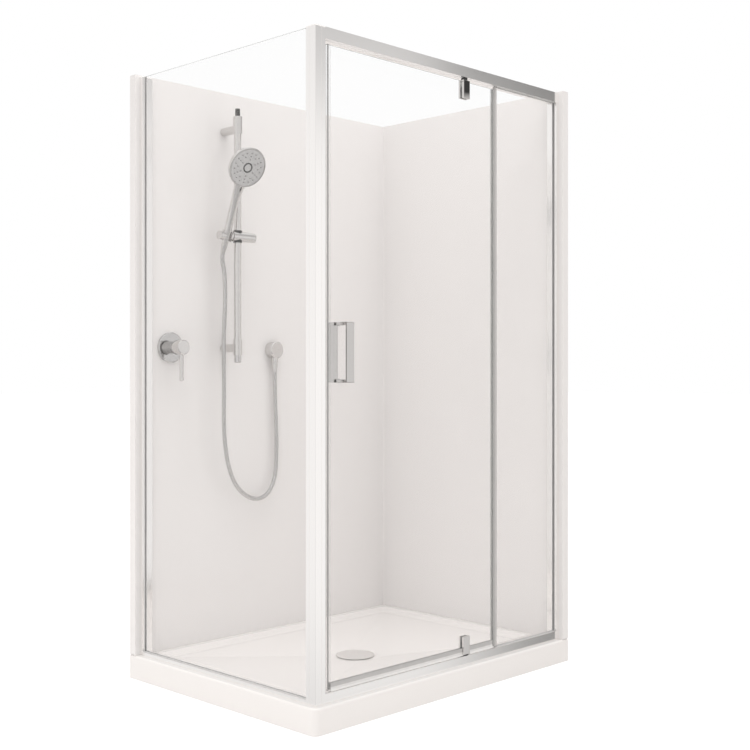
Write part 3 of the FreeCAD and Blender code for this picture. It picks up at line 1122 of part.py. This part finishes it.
# Lever cap: it covers the dome and hangs on the ball pin by a square stem.
cap_floor = "ball_y + sleeve_radius + cap_room"
cap = turning("cap", [
    ("0", cap_floor), ("cap_bore", cap_floor), ("cap_bore", "cap_start"), ("cap_radius", "cap_start"),
    ("cap_radius", "cap_end - edge_round"), ("cap_radius - edge_round", "cap_end"), ("0", "cap_end")],
    mixer_at, "-y")
stem_bar = box("stem_bar", ("2 * stem_half", "%s + cap_room - ball_y" % cap_floor, "2 * stem_half"),
               ("mixer_x - stem_half", "rear_wall - (%s) - cap_room" % cap_floor, "mixer_z - stem_half"))
stem_eye = rod("stem_eye", "stem_half", "2 * stem_half",
               ("mixer_x - stem_half", "rear_wall - ball_y", "mixer_z"), "x")
eye_hole = rod("eye_hole", "ball_pin_radius + pin_fit", "2 * stem_half",
               ("mixer_x - stem_half", "rear_wall - ball_y", "mixer_z"), "x")
lever = turning("lever", [
    ("0", "cap_bore"), ("lever_radius", "cap_bore"), ("lever_radius", "lever_foot - edge_round"),
    ("lever_radius - edge_round", "lever_foot"), ("0", "lever_foot")],
    ("mixer_x", "rear_wall - lever_y", "mixer_z"), "-z")
keep("mixer_handle", cut("mixer_handle", fuse("cap_and_stem", cap, stem_bar, stem_eye), eye_hole, lever))
keep("mixer_lever", lever)

# Every object is computed and sound before the pieces are written out.
doc.recompute()
for thing in doc.Objects:
    faults = {"Invalid", "Error"} & set(thing.State)
    if faults:
        raise RuntimeError("%s: %s" % (thing.Name, ", ".join(faults)))
os.makedirs("parts", exist_ok=True)
for label, thing in nodes.items():
    if thing.Shape.isNull() or not thing.Shape.isValid():
        raise RuntimeError(label + " has no sound shape")
    thing.Shape.exportStep("parts/%s.step" % label)
hose_length = hose_line.Shape.Length
print("hose length %.1f mm, tube volume over section times length %.4f"
      % (hose_length, hose.Shape.Volume / (math.pi * value("hose_radius") ** 2 * hose_length)))
print("%d pieces written" % len(nodes))
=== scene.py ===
import math

import bpy
import numpy as np
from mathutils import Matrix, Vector


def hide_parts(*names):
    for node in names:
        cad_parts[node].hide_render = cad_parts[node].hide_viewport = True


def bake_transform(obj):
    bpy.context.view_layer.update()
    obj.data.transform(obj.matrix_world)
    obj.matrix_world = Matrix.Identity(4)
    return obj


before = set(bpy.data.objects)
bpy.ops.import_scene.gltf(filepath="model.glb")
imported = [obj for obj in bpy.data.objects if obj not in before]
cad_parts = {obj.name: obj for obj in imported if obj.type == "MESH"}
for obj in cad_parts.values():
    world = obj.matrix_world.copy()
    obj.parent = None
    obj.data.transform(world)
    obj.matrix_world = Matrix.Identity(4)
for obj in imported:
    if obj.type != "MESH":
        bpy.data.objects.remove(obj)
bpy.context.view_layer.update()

# The picture: a level camera at chest height off the corner post, on a plain white floor, in an
# even white room with a long low lamp on the left and a soft one overhead.


class Signal:
    """A socket that takes part in sums: each operator adds the Math node that works it out."""

    def __init__(self, wiring, socket):
        self.wiring = wiring
        self.socket = socket

    def __add__(self, other):
        return self.wiring.math("ADD", self, other)

    def __rsub__(self, other):
        return self.wiring.math("SUBTRACT", other, self)

    def __mul__(self, other):
        return self.wiring.math("MULTIPLY", self, other)

    __radd__ = __add__
    __rmul__ = __mul__

    def held(self):
        """This signal kept between 0 and 1."""
        return self.wiring.math("ADD", self, 0, clamp=True)

    def smooth(self, low, high, at_low=0.0, at_high=1.0):
        """at_low below low, at_high above high, and an eased step between the two."""
        return self.wiring.node("ShaderNodeMapRange", {"interpolation_type": "SMOOTHSTEP"},
                                {"Value": self, "From Min": low, "From Max": high,
                                 "To Min": at_low, "To Max": at_high})

    def window(self, low, full, still_full, high):
        """0 outside low and high, 1 from full to still_full, and eased between."""
        return self.smooth(low, full) * self.smooth(still_full, high, 1.0, 0.0)


class Wiring:
    """A node tree under way."""

    def __init__(self, tree):
        self.tree = tree
        self.tree.nodes.clear()

    def node(self, kind, settings=None, values=None, output=0):
        """Add a node: its settings first, then the values and links of its sockets. The stops of
        a colour ramp are pairs of a place and a colour."""
        made = self.tree.nodes.new(kind)
        settings = dict(settings or {})
        for place, (where, colour) in enumerate(settings.pop("stops", ())):
            stops = made.color_ramp.elements
            stop = stops[place] if place < len(stops) else stops.new(where)
            stop.position = where
            stop.color = (*colour, 1)
        for name, setting in settings.items():
            setattr(made, name, setting)
        for socket, given in (values or {}).items():
            if isinstance(given, Signal):
                self.tree.links.new(given.socket, made.inputs[socket])
            else:
                made.inputs[socket].default_value = given
        return Signal(self, made.outputs[output]) if made.outputs else None

    def math(self, operation, *terms, clamp=False):
        """Work out one sum on signals and plain numbers."""
        return self.node("ShaderNodeMath", {"operation": operation, "use_clamp": clamp},
                         dict(enumerate(terms)))

    def parts(self, vector):
        """The three numbers of a vector, as signals."""
        split = self.node("ShaderNodeSeparateXYZ", {}, {"Vector": vector})
        return [Signal(self, socket) for socket in split.socket.node.outputs]

    def between(self, factor, first, second):
        """The first colour where factor is 0, the second where it is 1."""
        return self.node("ShaderNodeMix", {"data_type": "RGBA"},
                         {0: factor, 6: (*first, 1) if isinstance(first, tuple) else first,
                          7: (*second, 1) if isinstance(second, tuple) else second}, 2)


scene = bpy.context.scene
scene.view_settings.view_transform = "Standard"

EYE_AT, EYE_TURNED = (-2.7876, -2.8290, 1.0187), 45.574
SENSOR_MM, FOCAL_MM, LENS_SHIFT = 36, 56.11, (-0.0008, -0.00797)
lens = bpy.data.cameras.new("eye")
lens.sensor_width = SENSOR_MM
lens.lens = FOCAL_MM
lens.shift_x, lens.shift_y = LENS_SHIFT
lens.clip_end = 60
eye = bpy.data.objects.new("eye", lens)
eye.location = EYE_AT
eye.rotation_euler = (math.pi / 2, 0, math.radians(-EYE_TURNED))
scene.collection.objects.link(eye)
scene.camera = eye

# What metal reflects, by compass bearing: a white room, duller behind the camera, with one dark
# stand to the right of the front that greys the rails towards their right ends. The room dims
# below the level of the eye and above it, most of all in front, and is white again overhead. One
# small black card is up where the upper pivot block mirrors it.
ROOM = [(0.000, (0.95, 0.935, 0.925)), (0.140, (0.90, 0.885, 0.875)), (0.250, (0.80, 0.785, 0.775)),
        (0.310, (0.86, 0.845, 0.835)), (0.340, (0.80, 0.785, 0.775)), (0.357, (0.98, 0.965, 0.955)),
        (0.388, (0.97, 0.955, 0.945)), (0.395, (0.27, 0.265, 0.26)), (0.422, (0.25, 0.245, 0.24)),
        (0.445, (0.72, 0.705, 0.695)), (0.600, (0.90, 0.885, 0.875)), (1.000, (0.95, 0.935, 0.925))]
FRONT_TURN = (0.32, 0.35, 0.42, 0.45)
DIM_ABOVE, DIM_BELOW, CEILING = (0.17, 0.30, 0.0, 0.45), (-0.42, -0.15, 0.35, 0.0), (0.50, 0.80)
CARD_TURN, CARD_HEIGHT = (0.386, 0.387, 0.391, 0.392), (0.224, 0.232, 0.260, 0.275)
CARD_BLACK, CEILING_WHITE = (0.06, 0.06, 0.06), (1.0, 0.99, 0.98)
DAYLIGHT, DAYLIGHT_STRENGTH = (1, 0.982, 0.968, 1), 0.92
WHITE = (1, 1, 1, 1)
world = bpy.data.worlds.new("room")
scene.world = world
world.use_nodes = True
room = Wiring(world.node_tree)
bearing_x, bearing_y, height = room.parts(room.node("ShaderNodeTexCoord"))
turn = room.math("ARCTAN2", bearing_y, bearing_x) * (0.5 / math.pi) + 0.5
stands = room.node("ShaderNodeValToRGB", {"stops": ROOM}, {"Fac": turn})
ahead = turn.window(*FRONT_TURN) * 0.8 + 0.2
dim = height.smooth(*DIM_ABOVE) * ahead + height.smooth(*DIM_BELOW)
card = turn.window(*CARD_TURN) * height.window(*CARD_HEIGHT)
level = room.between((dim + card).held(), stands, CARD_BLACK)
mirrored = room.between(height.smooth(*CEILING), level, CEILING_WHITE)
rays = room.node("ShaderNodeLightPath").socket.node.outputs
camera_ray, glossy_ray, glass_ray = (
    Signal(room, rays[name]) for name in ("Is Camera Ray", "Is Glossy Ray", "Is Transmission Ray"))
lit = room.node("ShaderNodeBackground", {}, {"Color": DAYLIGHT, "Strength": DAYLIGHT_STRENGTH})
seen = room.node("ShaderNodeBackground", {}, {"Color": WHITE, "Strength": 1.0})
shine = room.node("ShaderNodeBackground", {}, {"Color": mirrored, "Strength": 1.0})
open_air = room.node("ShaderNodeMixShader", {}, {0: (camera_ray + glass_ray).held(), 1: lit, 2: seen})
room.node("ShaderNodeOutputWorld", {}, {0: room.node(
    "ShaderNodeMixShader", {}, {0: glossy_ray, 1: open_air, 2: shine})})


def soft_lamp(name, at, toward, wide, tall, watts):
    """A soft oblong lamp that looks from one point toward another, and that nothing mirrors."""
    light = bpy.data.lights.new(name, "AREA")
    light.shape, light.size, light.size_y = "RECTANGLE", wide, tall
    light.energy, light.color = watts, (1, 0.985, 0.975)
    lamp = bpy.data.objects.new(name, light)
    lamp.location = at
    lamp.rotation_euler = (Vector(toward) - Vector(at)).to_track_quat("-Z", "Y").to_euler()
    lamp.visible_camera = False
    lamp.visible_glossy = False
    scene.collection.objects.link(lamp)


soft_lamp("left_lamp", at=(-2.4, 0.1, 0.30), toward=(0, 0.1, 0.10), wide=3.0, tall=0.5, watts=5.5)
soft_lamp("overhead_lamp", at=(-0.5, -1.0, 5.0), toward=(0, 0, 0), wide=3.0, tall=3.0, watts=78)

# The floor: a wide sheet of white paper, seen white by the camera, with the tray's shadow kept in
# its matt share.
FLOOR_HALF = 40
PAPER_GREY, PAPER_GLOW, PAPER_BOUNCE = (0.45, 0.45, 0.45, 1), 0.70, (0.86, 0.85, 0.84, 1)
ground = bpy.data.meshes.new("ground")
ground.from_pydata([(-FLOOR_HALF, -FLOOR_HALF, 0), (FLOOR_HALF, -FLOOR_HALF, 0),
                    (FLOOR_HALF, FLOOR_HALF, 0), (-FLOOR_HALF, FLOOR_HALF, 0)], [], [(0, 1, 2, 3)])
floor = bpy.data.objects.new("floor", ground)
scene.collection.objects.link(floor)
paper = bpy.data.materials.new("paper")
paper.use_nodes = True
sweep = Wiring(paper.node_tree)
rays = sweep.node("ShaderNodeLightPath").socket.node.outputs
camera_ray, glass_ray = (Signal(sweep, rays[name]) for name in ("Is Camera Ray", "Is Transmission Ray"))
matt = sweep.node("ShaderNodeBsdfDiffuse", {}, {"Color": PAPER_GREY})
glow = sweep.node("ShaderNodeEmission", {}, {"Color": WHITE, "Strength": PAPER_GLOW})
bounce = sweep.node("ShaderNodeBsdfDiffuse", {}, {"Color": PAPER_BOUNCE})
pale = sweep.node("ShaderNodeAddShader", {}, {0: matt, 1: glow})
sweep.node("ShaderNodeOutputMaterial", {}, {0: sweep.node(
    "ShaderNodeMixShader", {}, {0: (camera_ray + glass_ray).held(), 1: bounce, 2: pale})})
ground.materials.append(paper)
floor.visible_glossy = False


# Tray: one vacuum-formed acrylic shell on a block of foam. Its gloss is broken by a faint
# orange peel, and its white is very slightly warm.


class Finish(Wiring):
    """A material round one Principled shader. Fixed numbers sit on the shader's own sockets."""

    def __init__(self, name, fixed):
        self.material = bpy.data.materials.new(name)
        self.material.use_nodes = True
        super().__init__(self.material.node_tree)
        self.shader = self.node("ShaderNodeBsdfPrincipled", {}, fixed)
        self.node("ShaderNodeOutputMaterial", {}, {0: self.shader})
        self.where = self.node("ShaderNodeTexCoord", {}, {}, 3)

    def feed(self, socket, given):
        """Lead a signal to one of the shader's sockets."""
        self.tree.links.new(given.socket, self.shader.socket.node.inputs[socket])

    def stretched(self, x, y, z):
        """Object coordinates drawn out by a factor along each axis."""
        return self.node("ShaderNodeMapping", {}, {"Vector": self.where, "Scale": (x, y, z)})

    def grain(self, scale, detail=2, where=None):
        """Noise from 0 to 1, with that many features to the metre and finer ones to that depth."""
        return self.node("ShaderNodeTexNoise", {}, {
            "Vector": where or self.where, "Scale": scale, "Detail": detail, "Roughness": 0.55})

    def cells(self, scale):
        """The distance to the nearest of a scatter of points, that many to the metre."""
        return self.node("ShaderNodeTexVoronoi", {}, {"Vector": self.where, "Scale": scale})

    def dents(self, height, depth, strength=1.0):
        """Let a signal from 0 to 1 stand that many metres proud of the surface."""
        self.feed("Normal", self.node("ShaderNodeBump", {}, {
            "Strength": strength, "Distance": depth, "Height": height}))


def dress(finish, *names):
    """Put a finish on CAD nodes."""
    for name in names:
        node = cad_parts[name]
        for slot in node.material_slots:
            slot.material = finish.material
        if not node.material_slots:
            node.data.materials.append(finish.material)


def moulded_white(name, deep, pale, sheen, peel):
    """A warm white skin: two whites mixed by slow noise, a gloss that wanders, an orange peel."""
    skin = Finish(name, {"IOR": 1.49})
    skin.feed("Base Color", skin.between(skin.grain(3.0, 3), deep, pale))
    skin.feed("Roughness", skin.grain(22.0, 3) * 0.06 + sheen)
    skin.dents(skin.grain(peel, 1), depth=0.0002, strength=0.12)
    return skin


acrylic = moulded_white("acrylic_shell", (0.872, 0.848, 0.832), (0.880, 0.857, 0.842),
                        sheen=0.16, peel=260.0)
dress(acrylic, "shower_tray")

foam = Finish("foam_block", {"IOR": 1.45})
beads = foam.cells(220.0)
# The foam darkens towards the edge of each bead, where the bump sinks: painted shade in the crevices
# between the beads.
foam.feed("Base Color", foam.between(beads * 1.4, (0.88, 0.87, 0.83), (0.70, 0.69, 0.64)))
foam.feed("Roughness", foam.grain(90.0) * 0.15 + 0.78)
foam.dents(1 - beads, depth=0.001)
dress(foam, "tray_base")

# Waste: a white moulded trap with a satin plated flange and a flat satin cover over a strainer,
# sealed to the shell by a soft ring.


def moulded_plastic(name, deep, pale, sheen):
    """Injection-moulded plastic: a fine spark texture and a gloss that wanders a little."""
    skin = Finish(name, {"IOR": 1.5})
    skin.feed("Base Color", skin.between(skin.grain(40.0, 3), deep, pale))
    skin.feed("Roughness", skin.grain(150.0, 2) * 0.12 + sheen)
    skin.dents(skin.grain(900.0, 2), depth=0.0002, strength=0.3)
    return skin


def polished(name, sheen, haze):
    """Bright metal before its colour, and the slow ripples of the buffing wheel that haze it."""
    coat = Finish(name, {"Metallic": 1.0})
    ripples = coat.grain(14.0, 2)
    coat.feed("Roughness", ripples * haze + coat.grain(600.0, 2) * 0.02 + sheen)
    coat.dents(coat.grain(26.0, 1), depth=0.0003, strength=0.08)
    return coat, ripples


def plating(name, tint, sheen, haze=0.04):
    """Plated or plain metal of one colour, a twentieth darker in its ripples."""
    coat, ripples = polished(name, sheen, haze)
    dull = tuple(0.95 * part for part in tint)
    coat.feed("Base Color", coat.between(ripples, tint, dull))
    return coat


white_plastic = moulded_plastic("white_moulding", (0.80, 0.785, 0.77), (0.85, 0.835, 0.82), sheen=0.28)
dress(white_plastic, "waste_body", "waste_strainer")
satin = plating("satin_plate", (0.98, 0.968, 0.958), sheen=0.42, haze=0.06)
dress(satin, "waste_flange", "waste_cover")


def soft_skin(name, sheen):
    """Extruded or moulded rubber before its colour: fine dust marks and a low sheen."""
    skin = Finish(name, {"IOR": 1.5})
    skin.feed("Roughness", skin.grain(300.0, 2) * 0.2 + sheen)
    skin.dents(skin.grain(700.0, 2), depth=0.0002, strength=0.4)
    return skin


def rubber(name, deep, pale, sheen):
    """A soft seal of one colour, mottled by dust."""
    skin = soft_skin(name, sheen)
    skin.feed("Base Color", skin.between(skin.grain(120.0, 4), deep, pale))
    return skin


dress(rubber("dark_seal", (0.10, 0.098, 0.097), (0.15, 0.147, 0.145), sheen=0.42), "waste_gasket")

# Walls: a two-sided liner drawn from one acrylic sheet, bonded to boards on the rear and the
# right, and run round its foot with a bead of white silicone.
sheet_white = moulded_white("liner_sheet", (0.832, 0.812, 0.804), (0.842, 0.823, 0.816),
                            sheen=0.07, peel=200.0)
dress(sheet_white, "wall_liner")

board = Finish("wall_board", {"IOR": 1.45})
fibre = board.grain(18.0, 6)
flecks = board.cells(140.0)
board.feed("Base Color", board.between((fibre * 0.8 + flecks * 0.35).held(),
                                       (0.66, 0.63, 0.57), (0.80, 0.775, 0.72)))
board.feed("Roughness", fibre * 0.15 + 0.78)
board.dents(fibre * 0.6 + flecks * 0.4, depth=0.0012, strength=0.6)
dress(board, "wall_backing")

silicone = Finish("silicone_bead", {"IOR": 1.41})
silicone.feed("Base Color", silicone.between(silicone.grain(30.0, 3), (0.70, 0.68, 0.66),
                                             (0.78, 0.76, 0.74)))
silicone.feed("Roughness", silicone.grain(80.0) * 0.15 + 0.35)
silicone.dents(silicone.grain(60.0, 3), depth=0.0006, strength=0.5)
dress(silicone, "wall_seal")

# Frame: bright aluminium extrusions, polished along their length. The corner post and the wall
# channels stand on the tray's rim, and the rails run between them. White caps close the ends.


def extruded(name, across, along):
    """Polished extrusion: hair lines drawn out along its length, and a slow haze."""
    bar = Finish(name, {"Metallic": 1.0})
    hairs = bar.grain(1.0, 2, bar.stretched(*across))
    haze = bar.grain(7.0, 2, bar.stretched(*along))
    bar.feed("Base Color", bar.between(hairs, (0.97, 0.958, 0.948), (0.99, 0.978, 0.968)))
    bar.feed("Roughness", hairs * 0.03 + haze * 0.04 + 0.11)
    bar.dents(hairs, depth=0.00002, strength=0.02)
    return bar


upright = extruded("upright_bar", across=(900, 900, 4), along=(1, 1, 0.3))
dress(upright, "corner_post", "left_wall_channel", "right_wall_channel")
dress(extruded("front_rail", across=(4, 900, 900), along=(0.3, 1, 1)), "head_rail", "sill_rail")
dress(extruded("return_sill", across=(900, 4, 900), along=(1, 0.3, 1)), "side_sill")
trim = moulded_plastic("white_trim", (0.95, 0.935, 0.925), (0.97, 0.955, 0.945), sheen=0.25)
dress(trim, "frame_caps", "rail_infills")
steel = plating("plain_steel", (0.60, 0.595, 0.59), sheen=0.22, haze=0.12)
dress(steel, "channel_screws")

# Glass: three toughened panes with ground and polished edges, grey-green at the edge and nearly
# clear through a face. Rubber gaskets hold the two fixed ones, pale along the rails and greyer up
# the inline pane's wall side, where the grey is painted shade in the corner against the wall
# channel. Vinyl strips seal the frame, nearly clear at that pane's edge.


def pane(name, face):
    """Clear glass: thin on the two faces that look along an axis, dense and tinted on its edges."""
    glass = Finish(name, {"IOR": 1.52, "Roughness": 0.02})
    facing = glass.parts(glass.node("ShaderNodeTexCoord", {}, {}, 1))[face]
    edge = 1 - glass.math("ABSOLUTE", facing).smooth(0.6, 0.95)
    smear = glass.grain(2.5, 4).smooth(0.5, 0.8)
    glass.feed("Alpha", edge * 0.5 + smear * 0.012 + 0.032)
    glass.feed("Base Color", glass.between(edge, (0.74, 0.745, 0.745), (0.52, 0.56, 0.55)))
    return glass


ACROSS_X, ACROSS_Y = 0, 1
dress(pane("return_glass", ACROSS_X), "side_glass")
dress(pane("front_glass", ACROSS_Y), "inline_glass", "door_glass")
dress(rubber("pale_gasket", (0.66, 0.655, 0.65), (0.74, 0.735, 0.73), sheen=0.5), "side_gaskets")

# Up the inline pane's wall side the gasket is darker: painted shade in the corner between the pane and
# the wall channel.
WALL_SHADE_FROM, WALL_SHADE_FULL = 0.551, 0.555
inline_gasket = soft_skin("inline_gasket", sheen=0.5)
dust = inline_gasket.grain(120.0, 4)
wall_corner_shade = inline_gasket.parts(inline_gasket.where)[0].smooth(WALL_SHADE_FROM, WALL_SHADE_FULL)
inline_gasket.feed("Base Color", inline_gasket.between(
    wall_corner_shade, inline_gasket.between(dust, (0.64, 0.635, 0.63), (0.72, 0.715, 0.71)),
    inline_gasket.between(dust, (0.38, 0.377, 0.374), (0.44, 0.436, 0.433))))
dress(inline_gasket, "inline_gaskets")

SOLID_UP_TO, CLEAR_FROM = 0.2285, 0.2305
grey_vinyl = rubber("grey_vinyl", (0.52, 0.508, 0.50), (0.58, 0.567, 0.558), sheen=0.36)
along_front = grey_vinyl.parts(grey_vinyl.where)[0]
grey_vinyl.feed("Alpha", along_front.smooth(SOLID_UP_TO, CLEAR_FROM, 1.0, 0.15))
dress(grey_vinyl, "frame_seals")

# Door: a pane that turns on two chromed pivot blocks, with a closing seal at the post that is
# darkened in a narrow band by painted shade in the gap between door and post, a clear tail seal
# beside the fixed pane and a drip seal at its foot.


def drawn_vinyl(name):
    """Translucent extruded vinyl before its colour and its clearness: a gloss with draw lines."""
    skin = Finish(name, {"IOR": 1.53})
    skin.feed("Roughness", skin.grain(200.0, 2) * 0.15 + 0.22)
    return skin


# A narrow band of the seal along the post is dark and dense: painted shade in the gap between the door
# and the post.
GAP_SHADE_BAND = (-0.5325, -0.5310, -0.5275, -0.5260)
closing = drawn_vinyl("closing_vinyl")
gap_shade = closing.parts(closing.where)[0].window(*GAP_SHADE_BAND)
closing.feed("Base Color", closing.between(gap_shade, (0.62, 0.615, 0.61), (0.26, 0.257, 0.255)))
closing.feed("Alpha", gap_shade * 0.75 + closing.grain(35.0, 2) * 0.05 + 0.12)
dress(closing, "door_closing_seal")

LIP_FROM, LIP_FULL = 0.2125, 0.2145
tail = drawn_vinyl("clear_vinyl")
lip = tail.parts(tail.where)[0].smooth(LIP_FROM, LIP_FULL)
tail.feed("Base Color", tail.between(tail.grain(60.0, 3), (0.54, 0.535, 0.53), (0.62, 0.615, 0.61)))
tail.feed("Alpha", lip * 0.55 + tail.grain(35.0, 2) * 0.12 + 0.06)
dress(tail, "door_tail_seal")

GRIP_FROM, GRIP_FULL = 0.1175, 0.1205
drip = drawn_vinyl("drip_vinyl")
grip = drip.parts(drip.where)[2].smooth(GRIP_FROM, GRIP_FULL)
drip.feed("Base Color", drip.between(grip, (0.84, 0.83, 0.82), (0.56, 0.553, 0.546)))
drip.feed("Alpha", drip.grain(35.0, 2) * 0.15 + 0.78)
dress(drip, "door_bottom_seal")

pivot_chrome = plating("pivot_chrome", (0.73, 0.715, 0.705), sheen=0.0, haze=0.01)
dress(pivot_chrome, "clamps_outer", "clamps_inner")
dress(rubber("pane_gasket", (0.30, 0.298, 0.296), (0.36, 0.357, 0.354), sheen=0.5), "clamp_pads")
dress(steel, "clamp_screws", "pivot_pins")
black_plastic = moulded_plastic("black_moulding", (0.022, 0.022, 0.022), (0.035, 0.035, 0.035),
                                sheen=0.34)
dress(black_plastic, "pivot_bushes")

# Door handles: a square bar bent to a flat loop outside and a wider one inside, chromed, and
# bolted through the glass in two satin sleeves.
handle_chrome = plating("handle_chrome", (0.60, 0.587, 0.578), sheen=0.07)
dress(handle_chrome, "handle_outer", "handle_inner")
dress(satin, "handle_bolts")

# Slide rail: a chromed tube in two cast brackets, with a dark turned cap at its head and a bright
# one at its foot, a slider that grips it by a side knob, and a cradle that tips on its spindle.
chrome = plating("chrome_plate", (0.73, 0.715, 0.705), sheen=0.05)
dress(chrome, "rail_tube", "rail_brackets", "slider_body", "clamp_knob", "handset_cradle")

FOOT_BELOW, HEAD_ABOVE = 1.4, 1.5
end_caps = Finish("end_caps", {"Metallic": 1.0})
upper = end_caps.parts(end_caps.where)[2].smooth(FOOT_BELOW, HEAD_ABOVE)
end_caps.feed("Base Color", end_caps.between(upper, (0.64, 0.632, 0.628), (0.13, 0.128, 0.126)))
end_caps.feed("Roughness", upper * 0.15 + end_caps.grain(14.0, 2) * 0.05 + 0.07)
end_caps.dents(end_caps.grain(26.0, 1), depth=0.0003, strength=0.08)
dress(end_caps, "rail_end_caps")
dress(black_plastic, "slider_liner")

# Hand shower: a chromed moulding with a flat bright face, through which a soft mat's nozzles
# stand, and a dark ring let in at the centre.
dress(chrome, "handset_body", "handset_hose_nut")
dress(plating("face_plate", (0.86, 0.85, 0.845), sheen=0.14, haze=0.05), "handset_face")
dress(rubber("nozzle_mat", (0.16, 0.158, 0.156), (0.20, 0.198, 0.195), sheen=0.5), "handset_nozzles")
dress(plating("dark_ring", (0.16, 0.158, 0.156), sheen=0.20, haze=0.1), "handset_ring")

# Hose: a rubber tube in a wound steel strip, 1.48 m long and 15 mm thick. It hangs from the hand
# shower's nut in one long loop and climbs back to the wall outlet's nut.
HOSE_POINTS = [(-0.283, 0.3557, 1.4377), (-0.283, 0.3700, 1.4004), (-0.275, 0.362, 1.350),
               (-0.275, 0.358, 1.258), (-0.287, 0.354, 1.110), (-0.285, 0.352, 0.955),
               (-0.286, 0.354, 0.810), (-0.266, 0.360, 0.695), (-0.226, 0.368, 0.615),
               (-0.166, 0.376, 0.568), (-0.105, 0.383, 0.553), (-0.052, 0.390, 0.573),
               (-0.018, 0.395, 0.625), (-0.008, 0.398, 0.712), (-0.010, 0.400, 0.830),
               (-0.016, 0.400, 0.948), (-0.016, 0.400, 1.028)]
HOSE_RADIUS, STRIP_PITCH, STRIP_DEPTH = 0.0075, 0.0032, 0.0004


def centre_line(name, points):
    """The points that a NURBS spline of order 3 follows when those are its control points."""
    curve = bpy.data.curves.new(name, "CURVE")
    curve.dimensions = "3D"
    curve.resolution_u = 24
    spline = curve.splines.new("NURBS")
    spline.points.add(len(points) - 1)
    for point, place in zip(spline.points, points):
        point.co = (*place, 1)
    spline.order_u = 3
    spline.use_endpoint_u = True
    holder = bpy.data.objects.new(name, curve)
    line = bpy.data.meshes.new_from_object(holder)
    found = np.empty(len(line.vertices) * 3)
    line.vertices.foreach_get("co", found)
    bpy.data.objects.remove(holder)
    return found.reshape(-1, 3)


def wound_tube(name, path, radius, pitch, depth, around=20, steps=6):
    """A tube along a path: at length s and angle a its radius is the full one less depth times
    the square of the sine of half of (2 pi s / pitch - a), which is a strip wound at that pitch."""
    runs = np.linalg.norm(np.diff(path, axis=0), axis=1)
    length = np.concatenate([[0], np.cumsum(runs)])
    count = int(length[-1] / pitch * steps)
    s = np.linspace(0, length[-1], count)
    spine = np.stack([np.interp(s, length, path[:, k]) for k in range(3)], axis=1)
    forward = np.gradient(spine, s, axis=0)
    forward /= np.linalg.norm(forward, axis=1)[:, None]
    side = np.array([0, 1, 0]) - forward * forward[:, 1:2]
    side /= np.linalg.norm(side, axis=1)[:, None]
    other = np.cross(forward, side)
    a = np.arange(around) * 2 * np.pi / around
    full = radius - depth * np.sin((2 * np.pi * s[:, None] / pitch - a[None, :]) / 2) ** 2
    skin = (spine[:, None, :] + full[..., None] * (np.cos(a)[None, :, None] * side[:, None, :]
                                                   + np.sin(a)[None, :, None] * other[:, None, :]))
    points = np.concatenate([skin.reshape(-1, 3), spine[:1], spine[-1:]])
    ring, along = np.meshgrid(np.arange(around), np.arange(count - 1))
    here, over = along * around + ring, along * around + (ring + 1) % around
    walls = np.stack([here, over, over + around, here + around], axis=-1).reshape(-1, 4)
    edge = np.arange(around)
    last = (count - 1) * around
    foot_centre, head_centre = count * around, count * around + 1
    foot = np.stack([np.full(around, foot_centre), (edge + 1) % around, edge], axis=-1)
    head = np.stack([np.full(around, head_centre), last + edge, last + (edge + 1) % around], axis=-1)
    mesh = bpy.data.meshes.new(name)
    mesh.from_pydata(points.tolist(), [], walls.tolist() + foot.tolist() + head.tolist())
    mesh.shade_smooth()
    tube = bpy.data.objects.new(name, mesh)
    scene.collection.objects.link(tube)
    wound = mesh.attributes.new("along", "FLOAT", "POINT")
    wound.data.foreach_set("value", np.concatenate(
        [(s[:, None] / pitch - a[None, :] / (2 * np.pi)).ravel(), [0, 0]]))
    return tube


hose_line = centre_line("hose_line", HOSE_POINTS)
hose = wound_tube("hose_tube", hose_line, HOSE_RADIUS, STRIP_PITCH, STRIP_DEPTH)
strip, _ = polished("hose_strip", sheen=0.12, haze=0.06)
turns = strip.node("ShaderNodeAttribute", {"attribute_name": "along"}, {}, 2)
crest = strip.math("COSINE", turns * (2 * math.pi)) * 0.5 + 0.5
# The strip darkens down into each groove between its windings: painted shade in the grooves.
strip.feed("Base Color", strip.between(crest, (0.52, 0.515, 0.51), (0.70, 0.694, 0.69)))
hose.data.materials.append(strip.material)
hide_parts("hose")
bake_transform(hose)

# Wall outlet: a chromed cast elbow, screwed on a brass nipple that comes through the wall, with
# the hose's lower nut under it.
dress(chrome, "wall_outlet", "outlet_hose_nut")
brass = plating("cast_brass", (0.62, 0.47, 0.24), sheen=0.3, haze=0.15)
dress(brass, "outlet_nipple")

# Mixer: a brass body in the wall with its cartridge and spindle, and outside it a chromed plate,
# a sleeve and the lever's cap.
dress(brass, "mixer_body", "mixer_spindle")
dress(chrome, "mixer_sleeve", "mixer_handle", "mixer_lever")
dress(plating("plate_chrome", (0.60, 0.593, 0.589), sheen=0.05), "mixer_plate")
dress(black_plastic, "mixer_cartridge")
